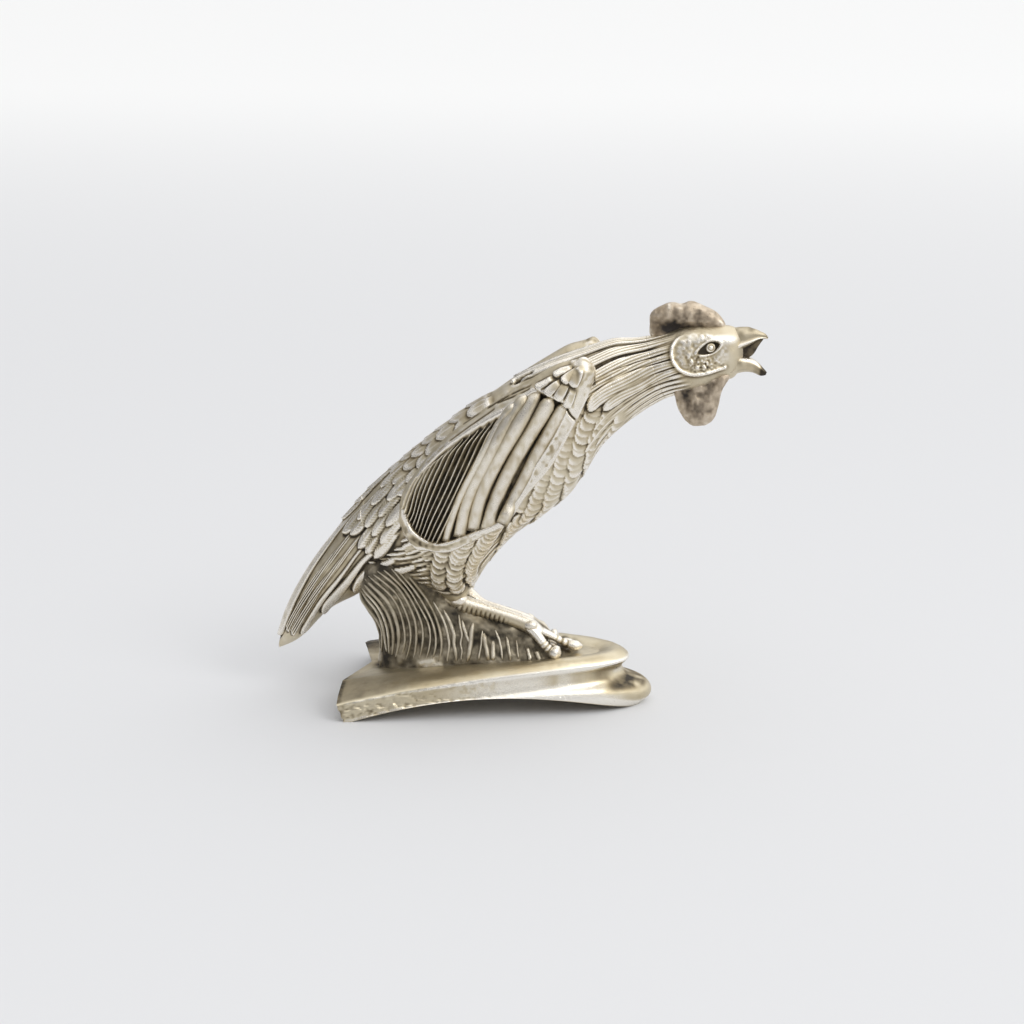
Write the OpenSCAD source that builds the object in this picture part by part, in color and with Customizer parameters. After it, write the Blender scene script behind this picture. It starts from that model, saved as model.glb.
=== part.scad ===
// Rooster hood ornament: a cast bird leaning forward on a grass mound and an arched base.
// The bird faces +X, +Z is up, and the origin is under the middle of the whole ornament.

/* [Overall] */
// Length from tail tip to beak tip
overall_l = 138; // [110:1:170]
// Height from the ground to the top of the comb
overall_h = 115; // [92:1:140]
// Width across the rear of the base
overall_w = 58; // [47:1:72]

/* [Base] */
// Height of the lip at the rear corners
lip_rear_h = 5; // [4:0.5:7]
// Height of the lip at the front
lip_front_h = 14; // [13:0.5:17]
// Rise of the arch under the base
arch_rise = 5.8; // [4.6:0.1:6.4]
// Depth of the notch in the rear end
notch_depth = 5.2; // [2:0.1:8]

/* [Wings] */
// Thickness of a wing casting
wing_t = 4.2; // [3.4:0.1:5.2]
// Half distance between the inner faces of the wings
wing_inner_y = 16; // [15.5:0.1:18]

/* [Head] */
// Thickness of the comb
comb_t = 4.8; // [4:0.1:6]
// Thickness of one wattle
wattle_t = 3.4; // [2.8:0.1:4.2]
// Gap between the two wattles
wattle_gap = 1.6; // [1:0.1:2.6]

/* [Legs] */
// Distance between the centre lines of the legs
leg_spacing = 13; // [12:0.5:15]
// Thickness of a shank at the middle
shank_d = 3.8; // [3.4:0.1:4.6]

/* [Fixings] */
// Diameter of the long bolts that hold the bird
bolt_d = 5; // [4:0.5:6]
// Length of the long bolts under the head
bolt_l = 35; // [32:1:38]
// Diameter of the screw at the front of the mound
screw_d = 4; // [3:0.5:4.5]
// Length of that screw under the head
screw_l = 9; // [8:0.5:10]
// Thickness of the washers
washer_t = 1; // [0.8:0.1:1.4]
// Diameter of the large dowels in the neck and the tail
dowel_d = 4; // [3:0.5:5]
// Diameter of the wing pins and the hock dowels
pin_d = 2.5; // [2:0.1:3]
// Diameter of the small pins in the feet, comb, wattles and jaw
small_pin_d = 1.5; // [1.2:0.1:1.8]

/* [Mounting] */
// Distance between the two threaded bushes
bush_spacing = 28; // [24:1:32]
// Outer diameter of a threaded bush
bush_d = 9; // [8:0.5:10]
// Length of a threaded bush
bush_l = 5.8; // [5:0.1:6.4]
// Bore of a bush, the tapping size of a quarter inch stud
bush_bore = 5.5; // [5:0.1:6]

/* [Hidden] */
$fn = 48;

// The stations below are in millimetres at the drawn size. Lengths stretch with kx, heights with kz.
kx = overall_l / 138;
kz = overall_h / 115;

pin_fit = 0.05;   // radial clearance of every pin, dowel, bolt and bush
end_gap = 0.3;    // free length past the end of a pin or screw
past = 1;         // how far a cut runs on past the face where it opens
sides = 24;       // points around a body section

plated = [0.80, 0.77, 0.70];
dark_plate = [0.55, 0.52, 0.45];
comb_brown = [0.35, 0.25, 0.19];
steel = [0.60, 0.61, 0.63];
brass = [0.78, 0.65, 0.36];

// ---- Base: levels from the bottom edge to the middle of the deck ----
// Each level is [rear x, front x, half width, rear z, front z].
base_w = overall_w / 2;
base_levels = [
    [-44.7 * kx, 36.5 * kx, base_w - 0.5, 0, 0],
    [-45.2 * kx, 39.0 * kx, base_w, 1.4, 3.2],
    [-45.6 * kx, 37.2 * kx, base_w - 0.2, 2.6, 7.4],
    [-46.0 * kx, 31.2 * kx, base_w - 0.9, 3.4, 9.4],
    [-46.2 * kx, 31.2 * kx, base_w - 1.0, lip_rear_h - 1, lip_front_h - 2.2],
    [-46.5 * kx, 32.6 * kx, base_w - 0.8, lip_rear_h - 0.4, lip_front_h - 0.8],
    [-46.6 * kx, 31.6 * kx, base_w - 1.6, lip_rear_h, lip_front_h],
    [-47.0 * kx, 24.0 * kx, base_w - 12, lip_rear_h + 3.1, lip_front_h + 0.2]
];
base_turns = [0, 0.1, 0.2, 0.3, 0.4, 0.5, 0.6, 0.7, 0.8, 0.88, 0.94, 0.98];
deck_crown = 0.2;         // rise of the deck's middle line over its edges
prow = 2.17;              // power of the curve that closes the plan to the front

arch_from = -42.5 * kx;   // where the arch leaves the ground at the rear
arch_to = 34 * kx;        // and at the front
arch_mid = (arch_from + arch_to) / 2;
arch_r = (pow((arch_to - arch_from) / 2, 2) + pow(arch_rise, 2)) / (2 * arch_rise);
function arch_z(x) = arch_rise - arch_r + sqrt(arch_r * arch_r - pow(x - arch_mid, 2));

function level_x(l, s) = l[0] + (1 - pow(1 - s, prow)) * (l[1] - l[0]);
function level_z(l, s) = l[3] + (1 - pow(1 - s, 2 * prow)) * (l[4] - l[3]);
function level_at(l, s, side) = [level_x(l, s), side * l[2] * (1 - s), level_z(l, s)];
function middle_x(l, s) = level_x([l[0] + notch_depth * kx, l[1], 0, 0, 0], s);
function base_ring(s) =
    let (low = base_levels[0], top = base_levels[len(base_levels) - 1])
    concat(
        [[middle_x(low, s), 0, level_z(low, s)]],
        [for (l = base_levels) level_at(l, s, 1)],
        [[middle_x(top, s), 0, level_z(top, s) + deck_crown]],
        [for (i = [len(base_levels) - 1:-1:0]) level_at(base_levels[i], s, -1)]
    );

// ---- Bird: every station is [top x, top z, bottom x, bottom z, half width] ----
tail_joint = [-43, 57.2, -38, 31.5, 8.5];
neck_joint = [36, 104.6, 41.5, 88.4, 6];
body_stations = [
    tail_joint,
    [-39, 61.5, -31, 30.5, 11],
    [-34, 66.5, -23, 29.5, 13],
    [-27.5, 72.2, -15.5, 29.5, 14],
    [-20, 78.5, -9.5, 36.5, 15.2],
    [-11.5, 85, -3, 45.3, 15.8],
    [-2.5, 91, 4, 51.2, 15.9],
    [6, 95.5, 11.5, 57, 15.2],
    [14, 99, 18, 64, 13.2],
    [21.5, 101.8, 23.5, 73.5, 10.5],
    [28, 103.8, 31, 81.5, 8],
    neck_joint
];
tail_stations = [
    tail_joint,
    [-50, 48.5, -46, 28.3, 7.5],
    [-57, 39, -53.5, 24, 6.2],
    [-62.5, 30, -59.5, 17.8, 4.8],
    [-66.5, 21, -64.5, 13.5, 3.2],
    [-68.8, 14.5, -69, 10.8, 1.4]
];
beak_joint = [60.5, 107.6, 61, 95.2, 3.2];
head_stations = [
    neck_joint,
    [41, 106.3, 45.5, 89.6, 6.6],
    [47, 108.4, 50, 90.2, 7.2],
    [53, 109, 54, 91.8, 6.4],
    [57.5, 108.6, 58, 93.6, 4.8],
    beak_joint
];
// The beak opens in front of the head: each half has its own short run of stations.
upper_beak_stations = [
    [57.5, 107.8, 58.5, 101.5, 4.2],
    [60.8, 107.8, 61.2, 101.6, 3.4],
    [64.5, 107.6, 64.5, 103, 2.2],
    [69, 106, 69, 104.6, 0.5]
];
lower_beak_stations = [
    [60.8, 101, 61, 95.2, 3],
    [64.5, 99.6, 64.3, 95, 2.1],
    [68.7, 96.5, 68.6, 94.8, 0.7]
];

// ---- Legs: shank stations are [x, z, tilt, share of the shank's thickness] ----
shank_stations = [
    [-17, 30.2, 20, 0.9],
    [-14.5, 29.4, 18, 1.15],
    [-9, 27.9, 16, 1],
    [-2.5, 26.2, 16, 1],
    [4, 24, 24, 1.05],
    [8, 21.4, 40, 1.1]
];
thigh_stations = [
    [-30, 47, -12, 42, 6],
    [-26, 39, -11.4, 36, 5.4],
    [-21, 33, -12.2, 31.4, 4],
    [-18, 30, -13.2, 29.2, 2.4]
];
// Toes run out over the deck: [tip x, tip y from the leg's centre line, thickness].
toes = [[14.2, -2.6, 4.4], [20.8, 4.4, 3.4], [12.5, 4.6, 3]];
toe_root = [7.4, 21.8];

// ---- Wings: stations from the tip to the shoulder, [top x, top z, bottom x, bottom z, inset] ----
wing_stations = [
    [-31, 54, -29, 50.6, 3.6],
    [-28, 59.5, -22, 47.4, 3],
    [-20, 70, -10, 48.8, 1.8],
    [-12, 79, -1.5, 54.6, 0.8],
    [-4, 87, 5, 62, 0.2],
    [4, 94, 12, 71.4, 0],
    [11.5, 99.4, 17.5, 81, 0],
    [18, 102, 22.5, 91, 0.2],
    [22, 100.8, 24.5, 96, 0.8]
];

// ---- Grass mound: levels as [z, rear x, front x, half width] ----
mound_levels = [
    [5, -39, 23, 12.5],
    [12.5, -40.4, 19, 12.2],
    [15.5, -39.9, 12, 11.4],
    [18, -40, 10, 10.6],
    [22, -41, 5, 9.8],
    [24.5, -42.3, -3, 9.4],
    [27.5, -44, -12, 9],
    [30, -43.2, -16, 8.6],
    [34, -39, -20, 8]
];
mound_corner = 0.6;       // below 1 the mound's plan is squarer than an ellipse

// ---- Comb lobes are [x, drop below the top, radius], the wattle is one round lobe ----
comb_lobes = [[39.9, 0.6, 3.2], [44.8, 0, 3.2], [49.6, 0.4, 3], [53.3, 2.4, 2.6]];
comb_foot = [[36.8, 111], [36.8, 104], [50, 104], [57, 106.5], [54.5, 110]];
wattle_lobe = [50.9, 86, 5.8];
wattle_neck = [[45.6, 92], [57.5, 93.4], [56.6, 88]];

// ---- Fixings ----
bolt_x = [-34.8 * kx, -21.5 * kx];
screw_x = 4 * kx;
bush_mid = 4 * kx;
bush_x = [bush_mid - bush_spacing / 2, bush_mid + bush_spacing / 2];
bush_mouth_z = arch_rise + 0.1;
bush_end_t = 1;           // closed end over the bore of a bush
head_d = 1.7;             // bolt head diameter as a share of the thread
head_h = 0.64;            // bolt head height as a share of the thread
washer_d = 1.8;           // washer diameter as a share of the thread
pocket_gap = 0.5;         // clearance around a washer
function seat_z(x, d) = arch_z(x) + d * head_h + washer_t + end_gap;
// The tip of a long bolt rises with the bird, so that it stays clear of the tail dowel.
function bolt_reach(x) = bolt_l * kz + seat_z(x, bolt_d) * (kz - 1);
joint_l = 14;             // length of the neck and tail dowels
dowel_hole_l = joint_l + 2 * end_gap;
dowel_hole_d = dowel_d + 2 * pin_fit;
pin_hole_d = pin_d + 2 * pin_fit;
small_hole_d = small_pin_d + 2 * pin_fit;
wing_pin_spots = [[7 * kx, 76 * kz], [-14 * kx, 64 * kz]];
wing_pin_y = [wing_inner_y - 3.2, wing_inner_y + wing_t * 0.45];
foot_pin_x = 13 * kx;
foot_pin_y = leg_spacing / 2 + 2.2;
foot_pin_z = [lip_front_h - 3.4, lip_front_h + 2.2];
comb_pins_x = [41.5 * kx, 48.5 * kx];
comb_pin_z = [104.2 * kz, 110 * kz];
wattle_pin_x = 51 * kx;
wattle_pin_z = [87.5 * kz, 93.5 * kz];
wattle_y = (wattle_gap + wattle_t) / 2;
jaw_pin_x = [58 * kx, 64 * kx];
jaw_pin_z = 98 * kz;
hock_pin_x = -15 * kx;
hock_pin_z = [28 * kz, 34 * kz];

// ---- Helpers ----
function total(v, i = 0) = i == len(v) - 1 ? v[i] : v[i] + total(v, i + 1);

// Joins a run of equal rings into one closed solid, whichever way the rings turn.
// The first end is a fan from point 0, the last end zigzags between the two sides.
module loft(rings) {
    n = len(rings[0]);
    m = len(rings);
    turn = total([for (i = [1:n - 2]) cross(rings[0][i] - rings[0][0], rings[0][i + 1] - rings[0][0])]);
    way = turn * (total(rings[m - 1]) - total(rings[0]));
    last_ring = (m - 1) * n;
    walls = [for (i = [0:m - 2], j = [0:n - 1])
        let (a = i * n + j, b = i * n + (j + 1) % n)
        each [[a, b, b + n], [a, b + n, a + n]]];
    first_cap = [for (j = [1:n - 2]) [0, j + 1, j]];
    last_cap = [for (j = [0:n - 3]) let (i = floor(j / 2))
        [last_ring + (j % 2 == 0 ? i : i + 1), last_ring + (j % 2 == 0 ? i + 1 : n - 2 - i),
         last_ring + n - 1 - i]];
    faces = concat(walls, first_cap, last_cap);
    polyhedron([for (r = rings) each r], way > 0 ? [for (f = faces) [f[0], f[2], f[1]]] : faces);
}

function oval_ring(s, y = 0, n = sides) =
    let (cx = (s[0] + s[2]) / 2, cz = (s[1] + s[3]) / 2,
         hx = (s[0] - s[2]) / 2, hz = (s[1] - s[3]) / 2)
    [for (i = [0:n - 1]) let (a = 360 * i / n)
        [(cx + hx * cos(a)) * kx, y + s[4] * sin(a), (cz + hz * cos(a)) * kz]];

function tube_ring(x, y, z, tilt, r, n = 12) =
    [for (i = [0:n - 1]) let (a = 360 * i / n)
        [x * kx + r * sin(tilt) * cos(a), y + r * sin(a), z * kz + r * cos(tilt) * cos(a)]];

function square_off(v) = sign(v) * pow(abs(v), mound_corner);

function mound_ring(l, n = 28) =
    [for (i = [0:n - 1]) let (a = 360 * i / n)
        [((l[1] + l[2]) / 2 + (l[2] - l[1]) / 2 * square_off(cos(a))) * kx,
         -l[3] * square_off(sin(a)), l[0] * kz]];

// The outer face of a wing is crowned, and the inner face is flat.
function wing_ring(s, n = 6) =
    let (inner = wing_inner_y - s[4])
    concat(
        [for (j = [0:n]) let (u = j / n)
            [(s[2] + (s[0] - s[2]) * u) * kx, -inner - wing_t * (0.5 + 0.5 * sin(180 * u)),
             (s[3] + (s[1] - s[3]) * u) * kz]],
        [[s[0] * kx, -inner, s[1] * kz], [s[2] * kx, -inner, s[3] * kz]]
    );

function joint_mid(s) = [(s[0] + s[2]) / 2 * kx, 0, (s[1] + s[3]) / 2 * kz];
function joint_turn(s) = atan2((s[1] - s[3]) * kz, (s[0] - s[2]) * kx);

// A rod through the middle of a joint, square to it.
module joint_rod(s, d, l) {
    translate(joint_mid(s))
        rotate([0, 180 - joint_turn(s), 0])
            cylinder(d = d, h = l, center = true);
}

module rod(x, y, z, d, l) {
    translate([x, y, z]) cylinder(d = d, h = l);
}

module jaw_rod(d, extra) {
    translate([jaw_pin_x[0] - extra, 0, jaw_pin_z])
        rotate([0, 90, 0]) cylinder(d = d, h = jaw_pin_x[1] - jaw_pin_x[0] + 2 * extra);
}

// Rods across the bird at the wing pins of one side, from y[0] out to y[1].
module wing_rods(side, d, y) {
    for (p = wing_pin_spots)
        translate([p[0], side * y[0], p[1]])
            rotate([-90 * side, 0, 0]) cylinder(d = d, h = y[1] - y[0]);
}

module flat_plate(t) {
    rotate([90, 0, 0]) linear_extrude(height = t, center = true) children();
}

// ---- Raw shapes that several pieces share ----
module base_blank() {
    loft([for (s = base_turns) base_ring(s)]);
}

module body_blank() {
    loft([for (s = body_stations) oval_ring(s)]);
    for (side = [-1, 1])
        loft([for (s = thigh_stations) oval_ring(s, y = side * leg_spacing / 2, n = 16)]);
}

module tail_blank() {
    loft([for (s = tail_stations) oval_ring(s)]);
}

module head_blank() {
    loft([for (s = head_stations) oval_ring(s)]);
    loft([for (s = upper_beak_stations) oval_ring(s, n = 12)]);
}

module toe(t) {
    r = t[2] / 2;
    tip_z = lip_front_h / kz + r;
    loft([for (i = [0:4]) let (u = i / 4)
        tube_ring(toe_root[0] + (t[0] - toe_root[0]) * u, t[1] * u,
                  toe_root[1] + (tip_z - toe_root[1]) * sin(90 * u),
                  60 * cos(90 * u), r * (1.1 - 0.1 * u), n = 10)]);
}

module leg_blank() {
    translate([0, -leg_spacing / 2, 0]) {
        loft([for (s = shank_stations) tube_ring(s[0], 0, s[1], s[2], shank_d / 2 * s[3])]);
        for (t = toes) toe(t);
    }
}

module both_legs() {
    leg_blank();
    mirror([0, 1, 0]) leg_blank();
}

module bolt_holes() {
    for (x = bolt_x)
        rod(x, 0, seat_z(x, bolt_d), bolt_d + 2 * pin_fit, bolt_reach(x) + end_gap);
    rod(screw_x, 0, seat_z(screw_x, screw_d), screw_d + 2 * pin_fit, screw_l + end_gap);
}

module foot_holes() {
    for (side = [-1, 1])
        rod(foot_pin_x, side * foot_pin_y, foot_pin_z[0] - end_gap, small_hole_d,
            foot_pin_z[1] - foot_pin_z[0] + 2 * end_gap);
}

module hock_holes(z) {
    for (side = [-1, 1])
        rod(hock_pin_x, side * leg_spacing / 2, z, pin_hole_d, hock_pin_z[1] + end_gap - z);
}

module bush_holes() {
    for (x = bush_x)
        rod(x, 0, -past, bush_d + 2 * pin_fit, bush_mouth_z + bush_l + end_gap + past);
}

module head_pocket(x, d) {
    rod(x, 0, -past, d * washer_d + 2 * pocket_gap, seat_z(x, d) + past);
}

// ---- Pieces ----
module base_plate() {
    color(plated) difference() {
        base_blank();
        translate([arch_mid, 0, arch_rise - arch_r])
            rotate([90, 0, 0]) cylinder(r = arch_r, h = 2 * overall_w, center = true, $fn = 360);
        bolt_holes();
        for (x = bolt_x) head_pocket(x, bolt_d);
        head_pocket(screw_x, screw_d);
        bush_holes();
        foot_holes();
    }
}

module grass_mound() {
    color(dark_plate) difference() {
        loft([for (l = mound_levels) mound_ring(l)]);
        base_blank();
        body_blank();
        tail_blank();
        both_legs();
        hock_holes(hock_pin_z[0] - end_gap);
        bolt_holes();
        bush_holes();
        foot_holes();
    }
}

module body() {
    color(plated) difference() {
        body_blank();
        joint_rod(tail_joint, dowel_hole_d, dowel_hole_l);
        joint_rod(neck_joint, dowel_hole_d, dowel_hole_l);
        bolt_holes();
        hock_holes(0);
        for (side = [-1, 1])
            wing_rods(side, pin_hole_d, [wing_pin_y[0] - end_gap, wing_inner_y + past]);
    }
}

module tail() {
    color(plated) difference() {
        tail_blank();
        joint_rod(tail_joint, dowel_hole_d, dowel_hole_l);
    }
}

module wing_right() {
    color(plated) difference() {
        loft([for (s = wing_stations) wing_ring(s)]);
        body_blank();
        wing_rods(-1, pin_hole_d, [wing_pin_y[0], wing_pin_y[1] + end_gap]);
    }
}

module wing_left() {
    mirror([0, 1, 0]) wing_right();
}

module wing_pins() {
    color(brass) for (side = [-1, 1]) wing_rods(side, pin_d, wing_pin_y);
}

module head() {
    color(plated) difference() {
        head_blank();
        joint_rod(neck_joint, dowel_hole_d, dowel_hole_l);
        for (x = comb_pins_x)
            rod(x, 0, comb_pin_z[0] - end_gap, small_hole_d, overall_h);
        for (side = [-1, 1])
            rod(wattle_pin_x, side * wattle_y, 0, small_hole_d, wattle_pin_z[1] + end_gap);
        jaw_rod(small_hole_d, end_gap);
    }
}

module lower_beak() {
    color(plated) difference() {
        loft([for (s = lower_beak_stations) oval_ring(s, n = 12)]);
        jaw_rod(small_hole_d, end_gap);
    }
}

module comb() {
    color(comb_brown) difference() {
        flat_plate(comb_t) {
            for (c = comb_lobes)
                translate([c[0] * kx, overall_h - c[1] - c[2]]) circle(r = c[2]);
            polygon([for (p = comb_foot) [p[0] * kx, p[1] * kz]]);
        }
        head_blank();
        body_blank();
        for (x = comb_pins_x)
            rod(x, 0, comb_pin_z[0], small_hole_d, comb_pin_z[1] - comb_pin_z[0] + end_gap);
    }
}

module wattle(side) {
    color(comb_brown) difference() {
        translate([0, side * wattle_y, 0]) flat_plate(wattle_t) hull() {
            translate([wattle_lobe[0] * kx, wattle_lobe[1] * kz]) circle(r = wattle_lobe[2]);
            polygon([for (p = wattle_neck) [p[0] * kx, p[1] * kz]]);
        }
        head_blank();
        rod(wattle_pin_x, side * wattle_y, wattle_pin_z[0] - end_gap, small_hole_d, overall_h);
    }
}

module wattle_left() {
    wattle(1);
}

module wattle_right() {
    wattle(-1);
}

module leg_right() {
    color(plated) difference() {
        leg_blank();
        base_blank();
        body_blank();
        foot_holes();
        hock_holes(hock_pin_z[0] - end_gap);
    }
}

module leg_left() {
    mirror([0, 1, 0]) leg_right();
}

module neck_dowel() {
    color(brass) joint_rod(neck_joint, dowel_d, joint_l);
}

module tail_dowel() {
    color(brass) joint_rod(tail_joint, dowel_d, joint_l);
}

module hock_dowels() {
    color(brass) for (side = [-1, 1])
        rod(hock_pin_x, side * leg_spacing / 2, hock_pin_z[0], pin_d, hock_pin_z[1] - hock_pin_z[0]);
}

module foot_pins() {
    color(brass) for (side = [-1, 1])
        rod(foot_pin_x, side * foot_pin_y, foot_pin_z[0], small_pin_d, foot_pin_z[1] - foot_pin_z[0]);
}

module comb_pins() {
    color(brass) for (x = comb_pins_x)
        rod(x, 0, comb_pin_z[0], small_pin_d, comb_pin_z[1] - comb_pin_z[0]);
}

module wattle_pins() {
    color(brass) for (side = [-1, 1])
        rod(wattle_pin_x, side * wattle_y, wattle_pin_z[0], small_pin_d,
            wattle_pin_z[1] - wattle_pin_z[0]);
}

module jaw_pin() {
    color(brass) jaw_rod(small_pin_d, 0);
}

module bolt(x, d, l) {
    translate([x, 0, seat_z(x, d)]) {
        cylinder(d = d, h = l);
        translate([0, 0, -washer_t]) cylinder(d = d, h = washer_t);
        translate([0, 0, -washer_t - d * head_h]) cylinder(d = d * head_d, h = d * head_h);
    }
}

module body_bolts() {
    color(steel) for (x = bolt_x) bolt(x, bolt_d, bolt_reach(x));
}

module mound_screw() {
    color(steel) bolt(screw_x, screw_d, screw_l);
}

module washer(x, d) {
    translate([x, 0, seat_z(x, d) - washer_t]) difference() {
        cylinder(d = d * washer_d, h = washer_t);
        translate([0, 0, -past]) cylinder(d = d + 2 * pin_fit, h = washer_t + 2 * past);
    }
}

module washers() {
    color(steel) {
        for (x = bolt_x) washer(x, bolt_d);
        washer(screw_x, screw_d);
    }
}

module mount_bushes() {
    color(brass) for (x = bush_x) translate([x, 0, bush_mouth_z]) difference() {
        cylinder(d = bush_d, h = bush_l);
        translate([0, 0, -bush_end_t]) cylinder(d = bush_bore, h = bush_l);
    }
}

base_plate();
grass_mound();
body();
tail();
wing_left();
wing_right();
head();
lower_beak();
comb();
wattle_left();
wattle_right();
leg_left();
leg_right();
neck_dowel();
tail_dowel();
wing_pins();
hock_dowels();
foot_pins();
comb_pins();
wattle_pins();
jaw_pin();
body_bolts();
mound_screw();
washers();
mount_bushes();
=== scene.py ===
import math
import bpy
import bmesh
import numpy as np
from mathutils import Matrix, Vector


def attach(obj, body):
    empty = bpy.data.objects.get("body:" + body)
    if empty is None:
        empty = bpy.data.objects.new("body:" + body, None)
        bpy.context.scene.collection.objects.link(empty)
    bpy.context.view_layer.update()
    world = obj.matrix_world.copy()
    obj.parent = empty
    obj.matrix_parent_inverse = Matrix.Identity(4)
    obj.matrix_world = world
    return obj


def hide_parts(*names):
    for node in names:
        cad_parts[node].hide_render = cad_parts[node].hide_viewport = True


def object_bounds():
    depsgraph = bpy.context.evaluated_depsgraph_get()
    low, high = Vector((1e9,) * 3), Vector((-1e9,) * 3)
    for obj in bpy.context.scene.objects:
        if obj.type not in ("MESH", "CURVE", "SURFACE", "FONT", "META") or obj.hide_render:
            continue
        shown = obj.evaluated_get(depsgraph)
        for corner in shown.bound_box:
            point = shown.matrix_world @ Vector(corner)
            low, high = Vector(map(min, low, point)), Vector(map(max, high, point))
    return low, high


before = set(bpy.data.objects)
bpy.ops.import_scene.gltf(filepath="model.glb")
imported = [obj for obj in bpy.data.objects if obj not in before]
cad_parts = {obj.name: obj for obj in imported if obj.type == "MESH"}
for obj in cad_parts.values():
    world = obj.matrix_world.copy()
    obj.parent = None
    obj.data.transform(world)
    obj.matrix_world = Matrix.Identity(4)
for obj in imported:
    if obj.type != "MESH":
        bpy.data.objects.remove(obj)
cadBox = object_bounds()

# the ornament is drawn in millimetres at its drawn size and stretched to the frame
drawnSize = np.array([138.0, 58.0, 115.0])
stretch = (np.array(cadBox[1]) - np.array(cadBox[0])) / drawnSize
dice = np.random.default_rng(7)
sides = ((-1, "right"), (1, "left"))
print("frame loaded, one drawn millimetre is", [round(float(v) * 1000, 4) for v in stretch])


# Small tools.

def smoothStep(value, low, high):
    share = np.clip((value - low) / (high - low), 0.0, 1.0)
    return share * share * (3.0 - 2.0 * share)


def bell(value, width):
    return np.exp(-(value / width) ** 2)


def splineThrough(knots, values, wanted):
    # natural cubic spline, one per column of values
    knots = np.array(knots, float)
    values = np.array(values, float)
    count = len(knots)
    gap = np.diff(knots)
    matrix = np.eye(count)
    right = np.zeros_like(values)
    for i in range(1, count - 1):
        matrix[i, i - 1:i + 2] = gap[i - 1], 2 * (gap[i - 1] + gap[i]), gap[i]
        right[i] = 6 * ((values[i + 1] - values[i]) / gap[i] - (values[i] - values[i - 1]) / gap[i - 1])
    bend = np.linalg.solve(matrix, right)
    i = np.clip(np.searchsorted(knots, wanted, side="right") - 1, 0, count - 2)
    a = ((knots[i + 1] - wanted) / gap[i])[:, None]
    b = 1 - a
    square = (gap[i] ** 2 / 6)[:, None]
    return a * values[i] + b * values[i + 1] + ((a ** 3 - a) * bend[i] + (b ** 3 - b) * bend[i + 1]) * square


def pathLength(points):
    steps = np.linalg.norm(np.diff(np.array(points, float), axis=0), axis=1)
    return np.concatenate([[0.0], np.cumsum(steps)])


def smoothPath(points, count):
    knots = pathLength(points)
    return splineThrough(knots, points, np.linspace(0, knots[-1], count))


def unit(vectors):
    return vectors / np.maximum(np.linalg.norm(vectors, axis=-1, keepdims=True), 1e-9)

def softened(values, passes, closed=True):
    # a plain blur of a grid of values
    result = values.copy()
    for _ in range(passes):
        padded = np.pad(result, ((1, 1), (0, 0)), mode="edge")
        result = (padded[:-2] + 2 * result + padded[2:]) / 4
        if closed:
            result = (np.roll(result, 1, axis=1) + 2 * result + np.roll(result, -1, axis=1)) / 4
        else:
            padded = np.pad(result, ((0, 0), (1, 1)), mode="edge")
            result = (padded[:, :-2] + 2 * result + padded[:, 2:]) / 4
    return result


def valueNoise(points, size, seed):
    # smooth random values in space, about -1 to 1, with features of the given size
    lattice = np.random.default_rng(seed).uniform(-1, 1, (32, 32, 32))
    place = points / size
    cell = np.floor(place).astype(int)
    share = place - cell
    share = share * share * (3 - 2 * share)
    total = np.zeros(points.shape[:-1])
    for corner in range(8):
        step = np.array([corner & 1, corner >> 1 & 1, corner >> 2 & 1])
        index = (cell + step) % 32
        weight = np.prod(np.where(step == 1, share, 1 - share), axis=-1)
        total += weight * lattice[index[..., 0], index[..., 1], index[..., 2]]
    return total


def softenedLine(values, passes):
    for _ in range(passes):
        padded = np.concatenate([values[:1], values, values[-1:]])
        values = (padded[:-2] + 2 * padded[1:-1] + padded[2:]) / 4
    return values


def patches(points, size, seed, low, high):
    # soft patches from 0 to 1, where the noise rises from low to high
    return smoothStep(valueNoise(points, size, seed), low, high)


def outwardNormals(points, middle, closed=True):
    along = np.gradient(points, axis=0)
    if closed:
        around = np.roll(points, -1, axis=1) - np.roll(points, 1, axis=1)
    else:
        around = np.gradient(points, axis=1)
    normals = unit(np.cross(along, around))
    return normals * np.sign((normals * (points - middle)).sum())


class Shell:
    # collects the closed skins of one piece before they become a mesh
    def __init__(self):
        self.points = []
        self.faces = []
        self.dirtAndShading = []
        self.count = 0

    def addTube(self, points, dirtAndShading=0.0, caps=True):
        # points is rows x columns, closed round the columns, with a fan on each end
        rows, columns = points.shape[:2]
        start = self.count
        last = start + (rows - 1) * columns
        for low in range(start, last, columns):
            for j in range(columns):
                k = (j + 1) % columns
                self.faces.append([low + j, low + k, low + columns + k, low + columns + j])
        allPoints = points.reshape(-1, 3)
        allDirtAndShading = np.broadcast_to(np.asarray(dirtAndShading, float), (rows, columns)).reshape(-1)
        if caps:
            allPoints = np.vstack([allPoints, points[0].mean(axis=0), points[-1].mean(axis=0)])
            allDirtAndShading = np.concatenate([allDirtAndShading, [allDirtAndShading[0], allDirtAndShading[-1]]])
            first = last + columns
            for j in range(columns):
                k = (j + 1) % columns
                self.faces.append([first, start + k, start + j])
                self.faces.append([first + 1, last + j, last + k])
        self.points.append(allPoints)
        self.dirtAndShading.append(allDirtAndShading)
        self.count += len(allPoints)


def sharpen(mesh, crease=None, prepare=None):
    # edges bent by more than crease degrees stay hard
    edit = bmesh.new()
    edit.from_mesh(mesh)
    if prepare is not None:
        prepare(edit)
    if crease is not None:
        for edge in edit.edges:
            if len(edge.link_faces) == 2 and edge.calc_face_angle(0.0) > math.radians(crease):
                edge.smooth = False
    edit.to_mesh(mesh)
    edit.free()


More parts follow.
